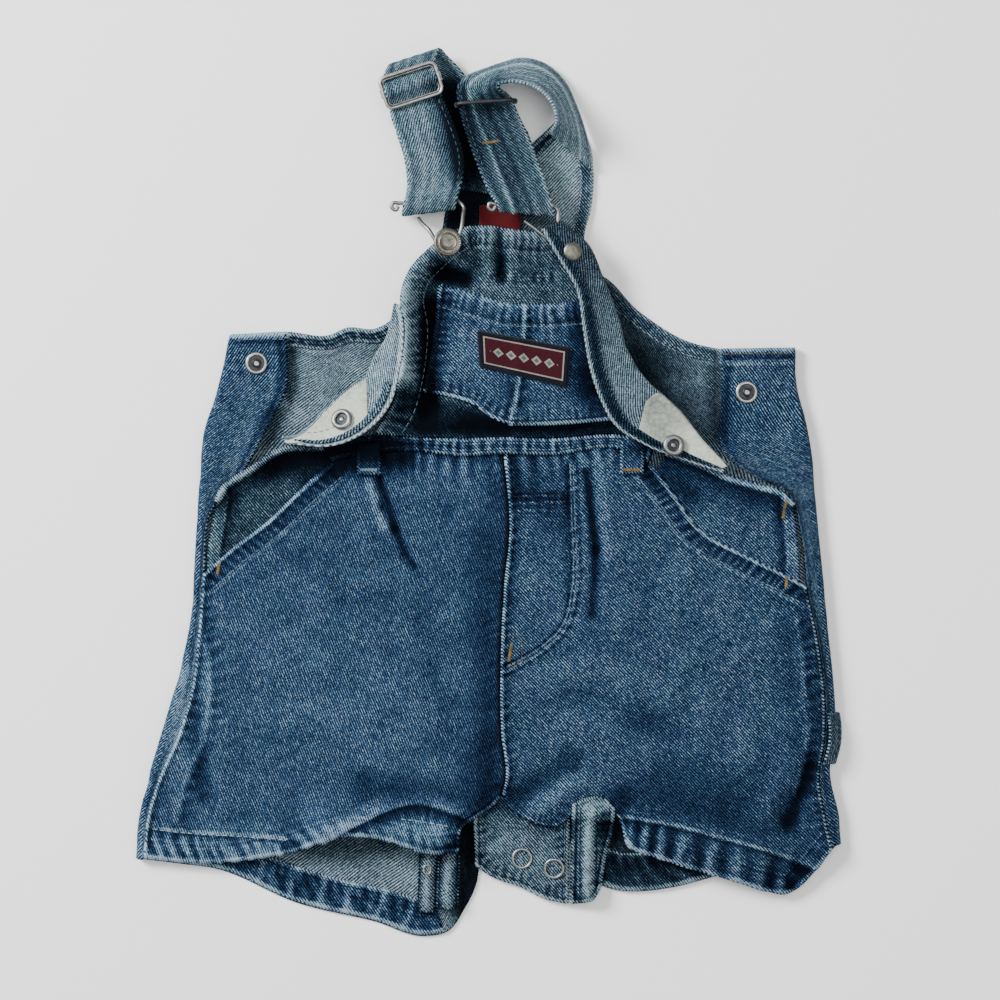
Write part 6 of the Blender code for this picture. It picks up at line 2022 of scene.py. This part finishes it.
def rounded_loop(width, height, corner, steps=7):
    """The points of a rounded rectangle round the origin."""
    points = []
    for quarter, (side_x, side_y) in enumerate(((1, 1), (-1, 1), (-1, -1), (1, -1))):
        for step in range(steps):
            angle = math.radians(90 * quarter + 90 * step / (steps - 1))
            x = side_x * (width / 2 - corner) + corner * math.cos(angle)
            y = side_y * (height / 2 - corner) + corner * math.sin(angle)
            points.append(Vector((x, y, 0)))
    return points


def build_sliders():
    """Wire sliders: a flattened double frame with its centre bar and two lugs."""
    width, height = SLIDER_SIZE
    for side, place, turns in (
        ("left", SLIDER_LEFT, (0, SLIDER_LEFT_TURN)),
        ("right", SLIDER_RIGHT, (90, SLIDER_RIGHT_TURN)),
    ):
        stand = Matrix.Rotation(math.radians(turns[1]), 3, "Z")
        stand = stand @ Matrix.Rotation(math.radians(turns[0]), 3, "X")
        spot = Vector(place)
        bright, shaded = (SILVER, STEEL) if side == "left" else (DARK_METAL, DARK_METAL)
        loop = [stand @ point + spot for point in rounded_loop(width, height, SLIDER_CORNER)]
        wire("slider_" + side, loop, WIRE, bright, True, ["slider_" + side])
        inner = [stand @ (point + Vector((0, 0, -0.7))) + spot
                 for point in rounded_loop(width - 2.6, height - 2.6, SLIDER_CORNER - 1)]
        wire("slider_inner_" + side, inner, 1.0, shaded, True)
        drop = Vector((0, 0, 0)) if turns[0] else Vector((0, 0, SLIDER_BAR_DROP))
        bar = [stand @ Vector((at, 0, 0)) + drop + spot for at in (-width / 2, 0, width / 2)]
        wire("slider_bar_" + side, bar, WIRE, shaded)
        for end in (-1, 1):
            lug = [stand @ Vector((end * (width / 2 + 0.2), at, 0)) + spot for at in (-2.2, 0, 2.2)]
            wire("slider_lug_%s_%s" % (side, "in" if end > 0 else "out"), lug, 2.6, bright)


def build_fasteners():
    """Buttons, rivet back, snap studs, sockets and ring snaps."""
    lining = DENIM / 2 + SEAM_GAP + FACING
    tab_top = DENIM + 2 * SIDE_FOLD + SEAM_GAP
    turned("bib_button_left", BUTTON_PROFILE, BUTTON_LEFT, BUTTON_LEFT_FACES, PEWTER)
    crown = Vector(BUTTON_LEFT) + Vector(BUTTON_LEFT_FACES).normalized() * BUTTON_CROWN
    beads("bib_button_left_beads", 30, 5.7, 0.42, crown, BUTTON_LEFT_FACES, PEWTER)
    beads("bib_button_left_inner_beads", 14, 2.6, 0.34, crown, BUTTON_LEFT_FACES, PEWTER)
    turned("bib_button_right", BUTTON_PROFILE, BUTTON_RIGHT, (0, 0.001, -1), PEWTER)
    turned("button_rivet", RIVET_PROFILE, *sheet_seat(WING_RIGHT, RIVET_PLACE, lining), PEWTER)
    for side, table, spot in (
        ("left", WING_LEFT, SOCKET_LEFT), ("right", WING_RIGHT, SOCKET_RIGHT),
    ):
        place, facing = sheet_seat(table, spot, lining)
        socket = turned("snap_socket_" + side, SOCKET_PROFILE, place, facing, NICKEL)
        darken(socket, DARK_METAL, place, 1.2, 3.0)
    for side, spot in (("left", STUD_LEFT), ("right", STUD_RIGHT)):
        stud = turned("snap_stud_" + side, STUD_PROFILE, (*spot, tab_top), (0, 0, 1), SILVER)
        darken(stud, DARK_METAL, (*spot, tab_top), 2.3, 3.95)
    for node, spot in RING_SNAPS.items():
        place, facing = surface_seat(crotch_height, DENIM, spot)
        ring_snap(node, place, facing)
    x, y = PLACKET_RING
    top = float(leg_placket_height(x, y)) + DENIM + 0.9
    loop = [Vector((x, y, top)) + point for point in rounded_loop(3.4, 4.4, 1.6)]
    wire("placket_ring", loop, 0.9, SILVER, True)
    for node, bends in (("hook_left", HOOK_LEFT_BENDS), ("hook_right", HOOK_RIGHT_BENDS)):
        wire(node, smooth(bends, 150), HOOK_WIRE, STEEL, nodes=[node])
    build_sliders()


# ---------------------------------------------------------------------------
# Table, light and camera.

CAMERA_AWAY = 2000.0
FIELD = 500.0
VIEW_CENTRE = (5.0, -2.5, CAMERA_AWAY + 10)


def build_stage():
    """Pale floor, soft studio light and a camera straight above."""
    bpy.ops.mesh.primitive_plane_add(size=6.0, location=(0, 0, -0.0004))
    floor = bpy.context.object
    floor.name = "pale_floor"
    paper = Finish("pale_paper", 0.9)
    paper.shader.inputs["Base Color"].default_value = (0.93, 0.93, 0.925, 1)
    floor.data.materials.append(paper.material)
    for name, place, size, power in (
        ("key", (-1.5, 0.9, 1.3), 0.7, 100),
        ("fill", (1.3, -0.8, 1.6), 1.6, 14),
        ("top", (0.2, 0.4, 2.6), 1.4, 30),
    ):
        lamp = bpy.data.lights.new(name, "AREA")
        lamp.size, lamp.energy = size, power
        light = placed(name, lamp)
        light.location = place
        light.rotation_euler = Vector(place).to_track_quat("Z", "Y").to_euler()
    world = bpy.data.worlds.new("soft_room")
    world.use_nodes = True
    world.node_tree.nodes["Background"].inputs["Color"].default_value = (1, 1, 1, 1)
    world.node_tree.nodes["Background"].inputs["Strength"].default_value = 0.42
    bpy.context.scene.world = world
    view = bpy.data.cameras.new("above")
    view.lens = view.sensor_width * CAMERA_AWAY / FIELD
    camera = placed("above", view)
    camera.location = on_table(VIEW_CENTRE)
    bpy.context.scene.camera = camera


build_stage()
build_back()
build_front()
build_bib()
build_wings()
build_crotch()
build_straps()
build_thread()
build_fasteners()
